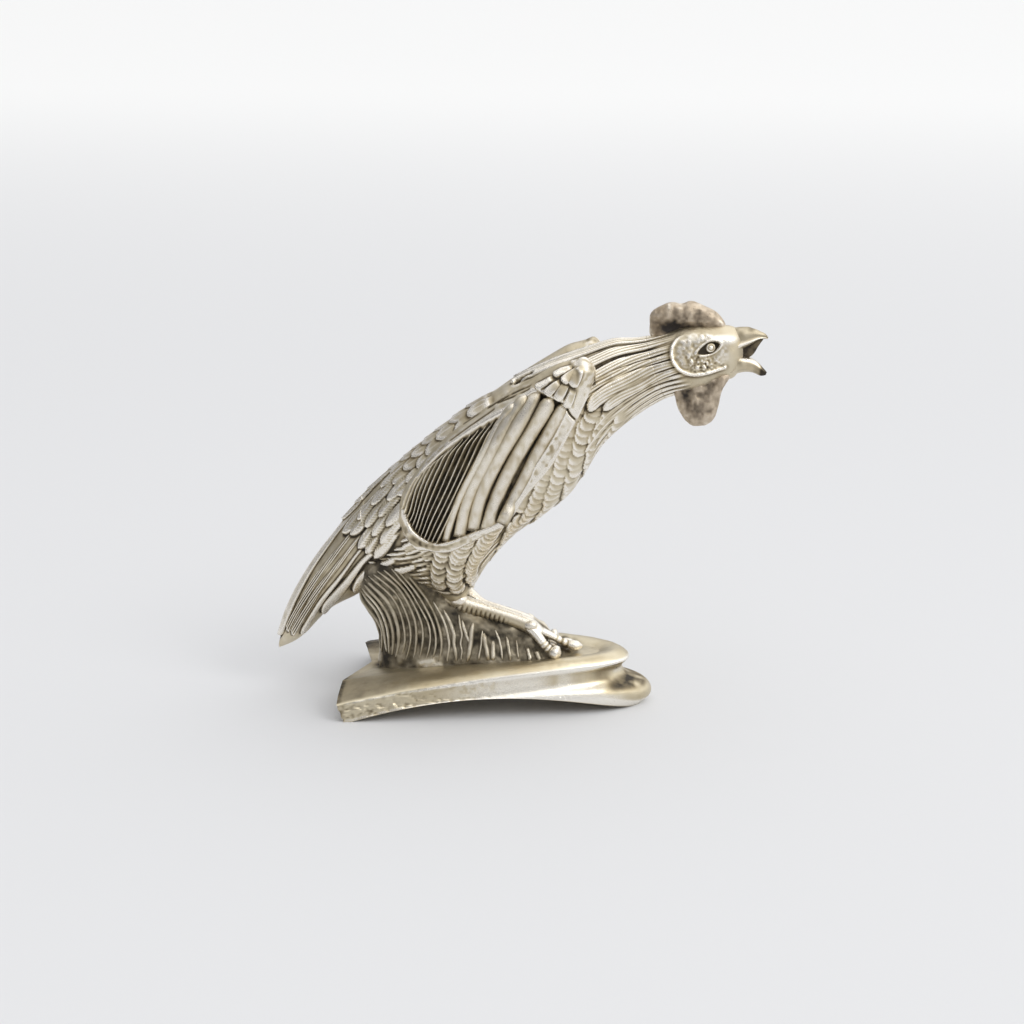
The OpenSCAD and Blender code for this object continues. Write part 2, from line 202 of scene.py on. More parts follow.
def makeMesh(name, shell, weld=False, crease=None):
    def clean(edit):
        if weld:
            bmesh.ops.remove_doubles(edit, verts=edit.verts, dist=2e-6)
            bmesh.ops.dissolve_degenerate(edit, edges=edit.edges, dist=1e-7)
        bmesh.ops.recalc_face_normals(edit, faces=edit.faces)

    mesh = bpy.data.meshes.new(name)
    mesh.from_pydata((np.vstack(shell.points) * stretch).tolist(), [], shell.faces)
    mesh.polygons.foreach_set("use_smooth", [True] * len(mesh.polygons))
    dirtAndShading = mesh.attributes.new("dirtAndShading", "FLOAT", "POINT")
    dirtAndShading.data.foreach_set("value", np.concatenate(shell.dirtAndShading).astype(np.float32))
    sharpen(mesh, crease, clean)
    mesh.update()
    return mesh


def drillHoles(mesh, drill, crease):
    block = bpy.data.objects.new("block", mesh)
    bits = bpy.data.objects.new("bits", makeMesh("bits", drill))
    for item in (block, bits):
        bpy.context.collection.objects.link(item)
    cut = block.modifiers.new("cut", "BOOLEAN")
    cut.operation = "DIFFERENCE"
    cut.solver = "EXACT"
    cut.object = bits
    graph = bpy.context.evaluated_depsgraph_get()
    drilled = bpy.data.meshes.new_from_object(block.evaluated_get(graph))
    bpy.data.objects.remove(block)
    bpy.data.objects.remove(bits)
    sharpen(drilled, crease)
    return drilled


def makePiece(name, shell, material, nodes, weld=False, crease=None, drill=None):
    mesh = makeMesh(name, shell, weld, crease)
    if drill is not None:
        mesh = drillHoles(mesh, drill, crease)
    piece = bpy.data.objects.new(name, mesh)
    bpy.context.collection.objects.link(piece)
    mesh.materials.clear()
    mesh.materials.append(material)
    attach(piece, "root")
    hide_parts(*nodes)
    print(name, "has", len(mesh.vertices), "points")


# Finishes: worn plate over a darker metal, bright where it is rubbed and where a highlight is painted,
# brown-black with patina in the recesses and where shade is painted.

brightPlate = {
    "worn": (0.93, 0.88, 0.79), "metal": (0.67, 0.595, 0.445), "warm": (0.42, 0.335, 0.20),
    "patinaAndShade": (0.030, 0.021, 0.010),
    "rough": 0.36, "dirtAndShadingBite": 1.3, "dirtAndShadingSpread": 0.5, "pits": 0.6, "grain": 0.5,
}
basePlate = {
    "worn": (0.93, 0.895, 0.82), "metal": (0.66, 0.59, 0.44), "warm": (0.47, 0.38, 0.23),
    "patinaAndShade": (0.040, 0.031, 0.020),
    "rough": 0.33, "dirtAndShadingBite": 1.1, "dirtAndShadingSpread": 0.45, "pits": 0.4, "grain": 0.3,
}
moundPlate = {
    "worn": (0.83, 0.77, 0.65), "metal": (0.53, 0.47, 0.36), "warm": (0.29, 0.24, 0.155),
    "patinaAndShade": (0.032, 0.026, 0.017),
    "rough": 0.42, "dirtAndShadingBite": 1.25, "dirtAndShadingSpread": 0.6, "pits": 0.9, "grain": 0.8,
}
bareComb = {
    "worn": (0.82, 0.74, 0.62), "metal": (0.57, 0.48, 0.37), "warm": (0.38, 0.29, 0.19),
    "patinaAndShade": (0.030, 0.024, 0.020),
    "rough": 0.40, "dirtAndShadingBite": 1.15, "dirtAndShadingSpread": 0.7, "pits": 0.8, "grain": 0.7,
}
textureScale = {"blotches": 260.0, "clouds": 70.0, "grains": 2600.0, "pits": 1400.0, "tarnish": 380.0}
bumpDepth = {"grain": 0.0002, "pits": 0.00015, "turning": 0.0001}


def fill(tree, socket, value):
    # another node's output is linked, a number or a colour is set
    if isinstance(value, bpy.types.NodeSocket):
        tree.links.new(value, socket)
    else:
        socket.default_value = (*value, 1) if socket.type == "RGBA" else value


def addNode(tree, kind, inputs, output=0, **settings):
    made = tree.nodes.new("ShaderNode" + kind)
    for key, value in settings.items():
        setattr(made, key, value)
    for key, value in inputs.items():
        fill(tree, made.inputs[key], value)
    return made.outputs[output]


def shareRamp(tree, value, low, high):
    return addNode(tree, "MapRange", {"From Min": low, "From Max": high, "Value": value},
                   interpolation_type="SMOOTHSTEP")


def blendColours(tree, share, first, second):
    return addNode(tree, "Mix", {"Factor": share, "A": first, "B": second}, "Result", data_type="RGBA")


def newMaterial(name):
    material = bpy.data.materials.new(name)
    material.use_nodes = True
    tree = material.node_tree
    return material, tree, tree.nodes["Principled BSDF"].inputs, addNode(tree, "TexCoord", {}, "Object")


def makeFinish(name, plan):
    material, tree, shader, place = newMaterial(name)

    def noise(key, detail, rough=0.6):
        return addNode(tree, "TexNoise", {"Scale": textureScale[key], "Detail": detail, "Roughness": rough,
                                          "Vector": place}, "Fac")

    def maths(kind, first, second):
        return addNode(tree, "Math", {0: first, 1: second}, operation=kind, use_clamp=kind != "MULTIPLY")

    dirtAndShading = addNode(tree, "Attribute", {}, "Fac", attribute_name="dirtAndShading")
    blotches = noise("blotches", 5.0)
    clouds = noise("clouds", 3.0)
    grains = noise("grains", 4.0, 0.7)
    pits = addNode(tree, "TexVoronoi", {"Scale": textureScale["pits"], "Vector": place}, "Distance")

    # patina and painted shade follow the point attribute and break up with the blotches
    broken = maths("MULTIPLY", shareRamp(tree, blotches, 0.25, 0.75), plan["dirtAndShadingSpread"])
    darkening = maths("MULTIPLY", maths("MAXIMUM", dirtAndShading, 0.0), plan["dirtAndShadingBite"])
    rubbedAndHighlit = shareRamp(tree, maths("MULTIPLY", dirtAndShading, -1.0), 0.02, 0.42)
    speckle = maths("MULTIPLY", shareRamp(tree, grains, 0.56, 0.72), 0.22 * plan["pits"])
    patinaAndShade = maths("ADD", maths("MULTIPLY", darkening, maths("ADD", broken, 0.62)), speckle)
    warmth = maths("MULTIPLY", shareRamp(tree, clouds, 0.38, 0.68), 0.55)
    warmth = maths("ADD", warmth, maths("MULTIPLY", darkening, 0.9))
    plate = blendColours(tree, rubbedAndHighlit, blendColours(tree, warmth, plan["metal"], plan["warm"]), plan["worn"])
    fill(tree, shader["Base Color"], blendColours(tree, patinaAndShade, plate, plan["patinaAndShade"]))

    fill(tree, shader["Metallic"], maths("SUBTRACT", 1.0, maths("MULTIPLY", patinaAndShade, 0.75)))
    rough = maths("ADD", maths("MULTIPLY", grains, 0.22), maths("MULTIPLY", patinaAndShade, 0.35))
    rough = maths("SUBTRACT", rough, maths("MULTIPLY", rubbedAndHighlit, 0.1))
    fill(tree, shader["Roughness"], maths("ADD", rough, plan["rough"] - 0.11))

    # cast skin: fine grain and small pits
    bump = addNode(tree, "Bump", {"Strength": plan["grain"], "Distance": bumpDepth["grain"],
                                  "Height": grains})
    sparse = maths("MULTIPLY", shareRamp(tree, pits, 0.35, 0.0), shareRamp(tree, blotches, 0.45, 0.62))
    bump = addNode(tree, "Bump", {"Strength": plan["pits"], "Distance": bumpDepth["pits"], "Height": sparse,
                                  "Normal": bump}, invert=True)
    fill(tree, shader["Normal"], bump)
    return material


birdFinish = makeFinish("bird_plate", brightPlate)
baseFinish = makeFinish("base_plate_finish", basePlate)
moundFinish = makeFinish("mound_plate", moundPlate)
combFinish = makeFinish("comb_metal", bareComb)
print("finishes made")


# The bird's skin: tail, body and head are cut from one skin, so their joints line up.

birdPlan = {
    # from the tail tip to the face: [top x, top z, bottom x, bottom z, half width]
    "stations": [
        [-68.9, 13.6, -69.0, 11.4, 0.9], [-66.5, 21, -64.5, 13.5, 3.2],
        [-62.5, 30, -59.5, 17.8, 4.8], [-57, 39, -53.5, 24, 6.2],
        [-50, 48.5, -46, 28.3, 7.5], [-43, 57.2, -38, 31.5, 8.5],
        [-39, 61.5, -31, 30.5, 11], [-34, 66.5, -23, 29.5, 13],
        [-27.5, 72.2, -15.5, 29.5, 14], [-20, 78.5, -9.5, 36.5, 15.2],
        [-11.5, 85, -3, 45.3, 15.8], [-2.5, 91, 4, 51.2, 15.9],
        [6, 95.5, 11.5, 57, 15.2], [14, 99, 18, 64, 13.2],
        [21.5, 101.8, 23.5, 73.5, 10.5], [28, 103.8, 31, 81.5, 8],
        [36, 104.6, 41.5, 88.4, 6], [41, 106.3, 45.5, 89.6, 6.6],
        [47, 108.4, 50, 90.2, 7.2], [53, 109, 54, 91.8, 6.4],
        [57.5, 108.6, 58, 93.6, 4.8], [60.5, 107.6, 60.8, 95.2, 3.4],
        [62.3, 105.4, 62.4, 98.6, 1.6],
    ],
    "tailJoint": 5, "neckJoint": 16,
    "rowGap": [0.27, 0.34, 0.15],  # tail, body, head
    "around": 336,
}


def ringPoints(rings, high, wide):
    middle = (rings[:, 0:2] + rings[:, 2:4]) / 2
    half = (rings[:, 0:2] - rings[:, 2:4]) / 2
    return np.stack([middle[:, 0:1] + half[:, 0:1] * high, rings[:, 4:5] * wide,
                     middle[:, 1:2] + half[:, 1:2] * high], axis=-1)


def readySkin(points, middle, closed=True):
    columnStep = np.linalg.norm(np.diff(points, axis=1), axis=2).mean(axis=1)
    rowStep = np.linalg.norm(np.gradient(points, axis=0), axis=2).mean(axis=1)
    # the stain grid holds real stains together with painted shade and painted highlights
    return {"points": points, "closed": closed, "normals": outwardNormals(points, middle, closed),
            "relief": np.zeros(points.shape[:2]), "stainAndShading": np.zeros(points.shape[:2]),
            "rowStep": np.maximum(rowStep, 0.05), "columnStep": np.maximum(columnStep, 0.03)}


def makeBirdSkin(plan):
    stations = np.array(plan["stations"], float)
    knots = pathLength((stations[:, 0:2] + stations[:, 2:4]) / 2)
    cuts = knots[[0, plan["tailJoint"], plan["neckJoint"], -1]]
    tailRows, bodyRows, headRows = [np.linspace(start, stop, int((stop - start) / gap) + 1)
                                    for start, stop, gap in zip(cuts[:-1], cuts[1:], plan["rowGap"])]
    rings = splineThrough(knots, stations, np.concatenate([tailRows[:-1], bodyRows[:-1], headRows]))
    turn = np.linspace(0, 2 * np.pi, plan["around"], endpoint=False)
    points = ringPoints(rings, np.cos(turn), -np.sin(turn))
    skin = readySkin(points, points.mean(axis=1, keepdims=True))
    skin["tailEnd"] = len(tailRows) - 1
    skin["neckEnd"] = skin["tailEnd"] + len(bodyRows) - 1
    return skin


def findSpot(skin, x, z):
    # the grid point nearest to x, z on the side that faces along -Y
    points = skin["points"]
    away = np.where(skin["normals"][:, :, 1] < -0.02, 0, 1e4)
    miss = (points[:, :, 0] - x) ** 2 + (points[:, :, 2] - z) ** 2 + away
    return np.unravel_index(np.argmin(miss), miss.shape)


plainFeather = {"round": 0.4, "tipPower": 2.0, "crown": 0.25, "soft": 0.45, "bend": 0.0, "shaft": 0.0,
                "barbs": 0.0, "barbPitch": 0.9, "rootWidth": 0.75}


def layFeather(skin, spot, heading, shape, lift=0.0):
    # raises one feather on the skin: spot is its tip, heading runs from its root to its tip
    shape = {**plainFeather, **shape}
    row, column = spot
    points = skin["points"]
    normal = skin["normals"][row, column]
    heading = np.array(heading, float)
    ahead = unit(heading - normal * heading.dot(normal))
    across = np.cross(normal, ahead)
    length = shape["length"]
    rowReach = int(length * 1.1 / skin["rowStep"][row]) + 3
    columnReach = int(length * 1.1 / skin["columnStep"][row]) + 3
    rows = np.arange(max(0, row - rowReach), min(points.shape[0], row + rowReach))
    total = points.shape[1]
    if skin["closed"]:
        columnReach = min(columnReach, total // 2 - 1)
        columns = np.arange(column - columnReach, column + columnReach) % total
    else:
        columns = np.arange(max(0, column - columnReach), min(total, column + columnReach))
    window = np.ix_(rows, columns)
    offset = points[window] - points[row, column]
    run = offset @ ahead
    reach = offset @ across - shape["bend"] * (run / length) ** 2 * length
    share = 1 + run / length
    closing = np.clip((share - (1 - shape["round"])) / shape["round"], 0, 1)
    half = (1 - closing ** shape["tipPower"]) ** 0.5
    half = half * (shape["rootWidth"] + (1 - shape["rootWidth"]) * smoothStep(share, 0, 0.6))
    distance = np.abs(reach) / (shape["width"] / 2)
    inside = (share > 0) & (share < 1) & (np.abs(offset @ normal) < 0.45 * length + 1)
    edge = smoothStep((half - distance) * shape["width"] / 2, 0.0, shape["soft"])
    side = distance / np.maximum(half, 0.05)
    height = shape["rise"] * (0.3 + 0.7 * np.clip(share, 0, 1)) * (1 - shape["crown"] * side ** 2)
    height = height + shape["shaft"] * bell(reach, 0.28)
    barbs = np.sin((run + np.abs(reach) * 0.8) * 2 * np.pi / shape["barbPitch"])
    height = height + shape["barbs"] * barbs * (distance > 0.12)
    height = (height + lift) * edge * np.minimum(1, share / 0.2) * inside
    skin["relief"][window] = np.maximum(skin["relief"][window], height)


def mirrorRelief(skin):
    # both flanks of the bird carry the same feathers
    total = skin["relief"].shape[1]
    flip = (-np.arange(total)) % total
    skin["relief"] = np.maximum(skin["relief"], skin["relief"][:, flip])
    stainAndShading = skin["stainAndShading"]
    skin["stainAndShading"] = np.where(np.abs(stainAndShading[:, flip]) > np.abs(stainAndShading), stainAndShading[:, flip], stainAndShading)


def flankRows(skin, plan):
    # rows of feathers along a path down the flank, given in x and z
    path = smoothPath(plan["path"], 60)
    knots = pathLength(path)

    def onPath(place):
        return np.array([np.interp(place, knots, path[:, i]) for i in range(2)])

    along = 0.0
    number = 0
    while along < knots[-1]:
        share = along / knots[-1]
        forward = unit(onPath(min(along + 0.5, knots[-1])) - onPath(max(along - 0.5, 0)))
        sideways = np.array([-forward[1], forward[0]])
        step, width, length, span, turn = [np.interp(share, plan["shares"], plan[key])
                                           for key in ("steps", "widths", "lengths", "spans", "turns")]
        turn = math.radians(turn)
        heading = forward * math.cos(turn) + sideways * math.sin(turn)
        across = np.array([-heading[1], heading[0]])
        count = int(span / width) + 1
        for k in range(-count, count + 1):
            lean = plan["stagger"] * (number % 2) + (plan["drift"] * number) % 1.0
            shift = (k + lean) * width * 0.92
            if abs(shift) > span:
                continue
            jitter = dice.uniform(-1, 1, 2) * plan["jitter"] * width
            target = onPath(along) + across * shift + heading * jitter[0] + across * jitter[1]
            shape = dict(plan["feather"], width=width * dice.uniform(0.95, 1.12), length=length)
            spot = findSpot(skin, target[0], target[1])
            found = skin["points"][spot]
            if math.hypot(found[0] - target[0], found[2] - target[1]) <= 0.8:
                layFeather(skin, spot, (heading[0], 0.0, heading[1]), shape, 0.06 * (k % 2))
        along += step
        number += 1


plainStrand = {"crown": 0.3, "hairs": 0.0, "hairPitch": 0.85, "soft": 0.4, "rootWidth": 0.5, "sway": 0.0,
               "stainAndShading": 0.0}


def layStrand(skin, plan):
    # raises one long feather that follows the skin
    # tip and root are (x on the top line, share of the half girth)
    plan = {**plainStrand, **plan}
    points = skin["points"]
    half = points.shape[1] // 2
    steps = np.linalg.norm(np.diff(points[:, :half + 1], axis=1), axis=2)
    arc = np.concatenate([np.zeros((len(points), 1)), np.cumsum(steps, axis=1)], axis=1)
    run = np.concatenate([[0], np.cumsum(skin["rowStep"])[:-1]])
    tipRow, rootRow = [int(np.argmin(np.abs(points[:, 0, 0] - plan[end][0]))) for end in ("tip", "root")]
    rows = np.arange(min(tipRow, rootRow), max(tipRow, rootRow) + 1)
    length = abs(run[rootRow] - run[tipRow])
    share = np.abs(run[rows] - run[rootRow]) / length
    sway = plan["sway"] * np.sin(np.pi * share)
    centre = (plan["root"][1] + (plan["tip"][1] - plan["root"][1]) * share + sway) * arc[rows, half]
    reach = arc[rows] - centre[:, None]
    width = plan["width"] * (plan["rootWidth"] + (1 - plan["rootWidth"]) * smoothStep(share, 0, 0.8))
    tipShare = min(0.9, plan.get("tipLength", plan["width"] * 0.7) / length)
    closing = np.clip((share - (1 - tipShare)) / tipShare, 0, 1)
    halfWidth = (width / 2 * (1 - closing ** 2) ** 0.5)[:, None]
    edge = smoothStep(halfWidth - np.abs(reach), 0.0, plan["soft"])
    side = np.abs(reach) / np.maximum((width / 2)[:, None], 0.1)
    height = plan["rise"] * (0.45 + 0.55 * share)[:, None] * (1 - plan["crown"] * side ** 2)
    hairs = np.sin(reach * 2 * np.pi / plan["hairPitch"] + 3 * np.sin(share * 9)[:, None])
    fade = np.minimum(1, share / 0.15)[:, None]
    height = (height + plan["hairs"] * hairs) * edge * fade
    target = skin["relief"][rows, :half + 1]
    skin["stainAndShading"][rows, :half + 1] += plan["stainAndShading"] * edge * fade * (height > target)
    skin["relief"][rows, :half + 1] = np.maximum(target, height)


def backScales(skin, plan):
    # rounded scales in staggered rows over the back, smaller and longer towards the tail
    points = skin["points"]
    half = points.shape[1] // 2
    x = plan["from"]
    number = 0
    while x > plan["to"]:
        share = (plan["from"] - x) / (plan["from"] - plan["to"])
        width, length, step, reach = [np.interp(share, plan["shares"], plan[key])
                                      for key in ("widths", "lengths", "steps", "reach")]
        row = int(np.argmin(np.abs(points[:, 0, 0] - x)))
        arc = pathLength(points[row, :half + 1])
        for k in range(int(reach / width) + 1):
            place = (k + 0.5 * (number % 2)) * width * 0.9
            column = int(np.argmin(np.abs(arc - place)))
            tipRow = int(row + dice.integers(-1, 2) + place * plan["lag"] / skin["rowStep"][row])
            heading = points[tipRow - 4, column] - points[tipRow + 4, column]
            shape = dict(plan["feather"], width=width * dice.uniform(0.98, 1.1), length=length)
            layFeather(skin, (tipRow, column), heading, shape, 0.08 * ((k + number) % 2))
        x -= step
        number += 1


backPlan = {
    "from": -14.0, "to": -37.0, "shares": [0, 0.35, 0.7, 1],
    "widths": [6.8, 6.2, 5.0, 4.2], "lengths": [8.5, 8.0, 7.0, 9.0], "steps": [4.2, 3.8, 3.1, 2.8],
    "reach": [17, 19, 20, 20], "lag": 0.25,
    "feather": {"rise": 0.95, "round": 0.5, "crown": 0.2, "shaft": 0.04},
}
covertPlan = {
    "tips": [[-50.0, 50.8], [-48.0, 47.6], [-45.6, 47.6], [-43.4, 44.4], [-41.0, 43.2], [-38.4, 42.2],
             [-45.6, 55.0], [-43.4, 52.0], [-41.0, 50.6], [-38.6, 48.6], [-36.2, 47.0],
             [-41.6, 59.0], [-39.2, 56.6], [-36.8, 54.2], [-34.6, 52.0], [-36.8, 61.4], [-34.4, 58.6]],
    "heading": (-0.62, 0.0, -0.78),
    "feather": {"length": 12.5, "width": 3.7, "rise": 1.15, "round": 0.3, "tipPower": 1.8, "crown": 0.4,
                "soft": 0.4, "shaft": 0.12, "barbs": 0.04},
}


def asPlans(keys, rows, **shared):
    # one dictionary for each row of values, with what they share
    return [{**shared, **dict(zip(keys, row))} for row in rows]


hackleKeys = ("tip", "root", "width", "rise", "tipLength", "hairs")
hacklePlan = asPlans(hackleKeys, [
    # the cape over the back
    [(-1.0, 0.05), (44, 0.06), 4.6, 0.95, 7, 0.07],
    [(4.0, 0.20), (44, 0.17), 4.4, 1.0, 7, 0.08],
    [(9.5, 0.33), (44, 0.28), 4.0, 1.05, 6, 0.08],
    [(15.0, 0.40), (43.5, 0.37), 3.6, 1.0, 5, 0.08],
]) + [
    # the long lobes on the side of the neck
    {"tip": (19.5, 0.47), "root": (43, 0.46), "width": 5.0, "rise": 1.45, "hairs": 0.05, "tipLength": 3.0,
     "rootWidth": 0.45, "sway": 0.01},
    {"tip": (23.5, 0.575), "root": (44, 0.54), "width": 3.9, "rise": 1.25, "hairs": 0.05, "tipLength": 3.5,
     "sway": 0.02},
] + asPlans(hackleKeys, [
    [(21.0, 0.66), (46, 0.61), 2.8, 0.8],
    [(17.5, 0.73), (45, 0.68), 2.6, 0.85],
    [(20.5, 0.80), (46, 0.74), 2.5, 0.8],
    [(18.5, 0.87), (45, 0.81), 2.5, 0.8],
    [(20.5, 0.94), (46, 0.88), 2.4, 0.75],
    [(16.5, 1.0), (45, 0.96), 2.6, 0.7],
], tipLength=3, hairs=0.03)
breastPlan = {
    "path": [[25.5, 86.5], [19, 79], [13.5, 70], [7, 61], [1, 54.5]],
    "shares": [0, 0.3, 0.7, 1], "steps": [1.75, 1.6, 1.5, 1.5], "widths": [5.0, 6.2, 6.2, 5.4],
    "lengths": [8.5, 8.0, 7.0, 6.5], "spans": [6.5, 9.5, 9.5, 8.5], "turns": [-24, -28, -30, -36],
    "feather": {"rise": 0.8, "round": 0.5, "crown": 0.1, "soft": 0.3, "bend": -0.2},
    "stagger": 0.0, "drift": 0.13, "jitter": 0.05,
}
thighPlan = {
    "path": [[0.5, 53.5], [-8, 46.5], [-14.5, 39.5], [-17, 32.5]],
    "shares": [0, 0.4, 1], "steps": [1.35, 1.25, 1.15], "widths": [5.6, 5.8, 4.4],
    "lengths": [5.5, 5.2, 4.2], "spans": [8, 10, 5.5], "turns": [-4, 6, 2],
    "feather": {"rise": 0.7, "round": 0.6, "crown": 0.1, "soft": 0.28},
    "stagger": 0.0, "drift": 0.1, "jitter": 0.05,
}
rumpPlan = {
    "path": [[-14, 46], [-24, 42], [-34, 38.5], [-42, 36]],
    "shares": [0, 0.5, 1], "steps": [3.6, 3.6, 3.4], "widths": [1.5, 1.45, 1.5],
    "lengths": [11, 12, 9], "spans": [8.5, 8.0, 5.0], "turns": [12, 4, -20],
    "feather": {"rise": 0.42, "round": 0.35, "tipPower": 1.6, "crown": 0.55, "soft": 0.3},
    "stagger": 0.5, "drift": 0.0, "jitter": 0.12,
}
tailPlan = [
    {"tip": (-68.3, 0.12), "root": (-45, 0.0), "width": 6.2, "rise": 1.2, "tipLength": 7, "rootWidth": 0.9,
     "crown": 0.15, "stainAndShading": -0.15},
    {"tip": (-66.6, 0.44), "root": (-44, 0.25), "width": 3.1, "rise": 0.55, "hairs": 0.16, "hairPitch": 0.75,
     "stainAndShading": 0.3},
    {"tip": (-66.0, 0.62), "root": (-43, 0.345), "width": 2.9, "rise": 0.65, "hairs": 0.14, "hairPitch": 0.75,
     "stainAndShading": 0.26},
    {"tip": (-64.4, 0.78), "root": (-42, 0.43), "width": 2.3, "rise": 0.9, "rootWidth": 0.55,
     "tipLength": 2.4},
] + asPlans(("tip", "root", "width", "rise", "tipLength", "rootWidth", "stainAndShading"), [
    [(-58.6, 0.80), (-40, 0.50), 3.6, 1.35, 3.0, 0.5, -0.2],
    [(-49.6, 0.78), (-37, 0.575), 3.9, 1.5, 3.4, 0.5, -0.2],
    [(-42.0, 0.72), (-33, 0.63), 3.4, 1.3, 3.0, 0.6, -0.1],
], crown=0.15)
birdTone = {
    "neckStart": 34.0, "neckBlend": 10.0, "breastCalm": 0.65, "breastRub": 0.1,
    # painted shade on the rump, below the wing's lower edge
    "rumpShade": {"centre": (-24.0, 39.5), "size": (11.0, 6.0), "stainAndShading": 0.32},
    # the small slot behind the neck
    "slot": {"path": [[0.4, 4.2, 92.9], [2.4, 4.0, 94.2], [4.6, 4.0, 95.3]], "width": 1.35, "depth": 1.5,
             "stainAndShading": 1.3},
}


def pathDistance(x, z, path):
    best = np.full(x.shape, 1e9)
    for a, b in zip(path[:-1], path[1:]):
        run = b - a
        share = np.clip(((x - a[0]) * run[0] + (z - a[1]) * run[1]) / (run @ run), 0, 1)
        best = np.minimum(best, np.hypot(x - a[0] - share * run[0], z - a[1] - share * run[1]))
    return best


def reachOf(x, z, plan):
    # 0 at the centre of an ellipse, 1 on its rim
    return np.hypot((x - plan["centre"][0]) / plan["size"][0], (z - plan["centre"][1]) / plan["size"][1])


def lump(x, z, plan):
    return bell(reachOf(x, z, plan), 1.0)


def swellThighs(skin, plan):
    points = skin["points"]
    start, stop = np.array(plan["top"]), np.array(plan["hock"])
    for side in (-1, 1):
        a = start * [1, side, 1]
        b = stop * [1, side, 1]
        share = np.clip(((points - a) @ (b - a)) / ((b - a) @ (b - a)), 0, 1)
        distance = np.linalg.norm(points - (a + share[..., None] * (b - a)), axis=2)
        width = plan["width"][0] + (plan["width"][1] - plan["width"][0]) * share
        push = plan["push"] * bell(distance, width) * smoothStep(share, -0.2, 0.7)
        points += skin["normals"] * push[..., None]
    return {**skin, **readySkin(points, points.mean(axis=1, keepdims=True))}


def toneBird(skin, plan):
    # calms the relief on the breast's front, paints shade on the rump below the wing and sinks the slot
    points = skin["points"]
    x, z = points[:, :, 0], points[:, :, 2]
    normals = skin["normals"]
    behindNeck = smoothStep(plan["neckStart"] - x, 0, plan["neckBlend"])
    frontal = smoothStep(normals[:, :, 0], 0.05, 0.4) * (1 - smoothStep(np.abs(normals[:, :, 1]), 0.05, 0.5))
    skin["relief"] *= 1 - plan["breastCalm"] * frontal * behindNeck
    # painted shade on the rump, below the wing's lower edge
    skin["stainAndShading"] += plan["rumpShade"]["stainAndShading"] * lump(x, z, plan["rumpShade"])
    skin["stainAndShading"] -= plan["breastRub"] * behindNeck
    slot = plan["slot"]
    pit = np.zeros(x.shape)
    for place in smoothPath(slot["path"], 12):
        gap = np.linalg.norm(points * [1, -1, 1] - place, axis=2)
        gap = np.minimum(gap, np.linalg.norm(points - place, axis=2))
        pit = np.maximum(pit, smoothStep(slot["width"] - gap, 0, 0.5))
    skin["relief"] -= slot["depth"] * pit
    skin["stainAndShading"] += slot["stainAndShading"] * pit


thighShape = {"top": (-19, 9, 46), "hock": (-16.4, 6.5, 32.8), "width": (8.5, 3.3), "push": 3.4}

bird = swellThighs(makeBirdSkin(birdPlan), thighShape)
backScales(bird, backPlan)
for tip in covertPlan["tips"]:
    spot = findSpot(bird, *tip)
    layFeather(bird, spot, covertPlan["heading"], covertPlan["feather"], dice.uniform(0, 0.12))
for flank in (breastPlan, thighPlan, rumpPlan):
    flankRows(bird, flank)
for strand in hacklePlan + tailPlan:
    layStrand(bird, strand)
toneBird(bird, birdTone)
mirrorRelief(bird)
print("feathers laid")


headPlan = {
    # places are [x, z] on the side of the head, and the left side mirrors the right
    "rim": [[46.8, 106.9], [44.4, 105.0], [43.3, 102.6], [43.7, 99.7], [46.0, 97.1], [49.2, 96.1],
            [53.6, 96.8], [57.4, 98.0]],
    "rimWidth": 0.55, "rimRise": 0.75,
    "disc": {"centre": (50.6, 101.4), "size": (6.6, 5.0), "sink": 0.5},
    "eye": {"centre": (53.5, 103.3), "length": 2.7, "height": 1.6, "tilt": 22},
    "brow": {"centre": (56.6, 105.3), "size": (4.2, 1.5), "rise": 0.8},
    "lore": {"centre": (58.6, 101.4), "size": (2.3, 3.6), "rise": 0.75},
    "cheek": {"centre": (51.2, 99.0), "size": (4.0, 2.2), "rise": 0.35},
}


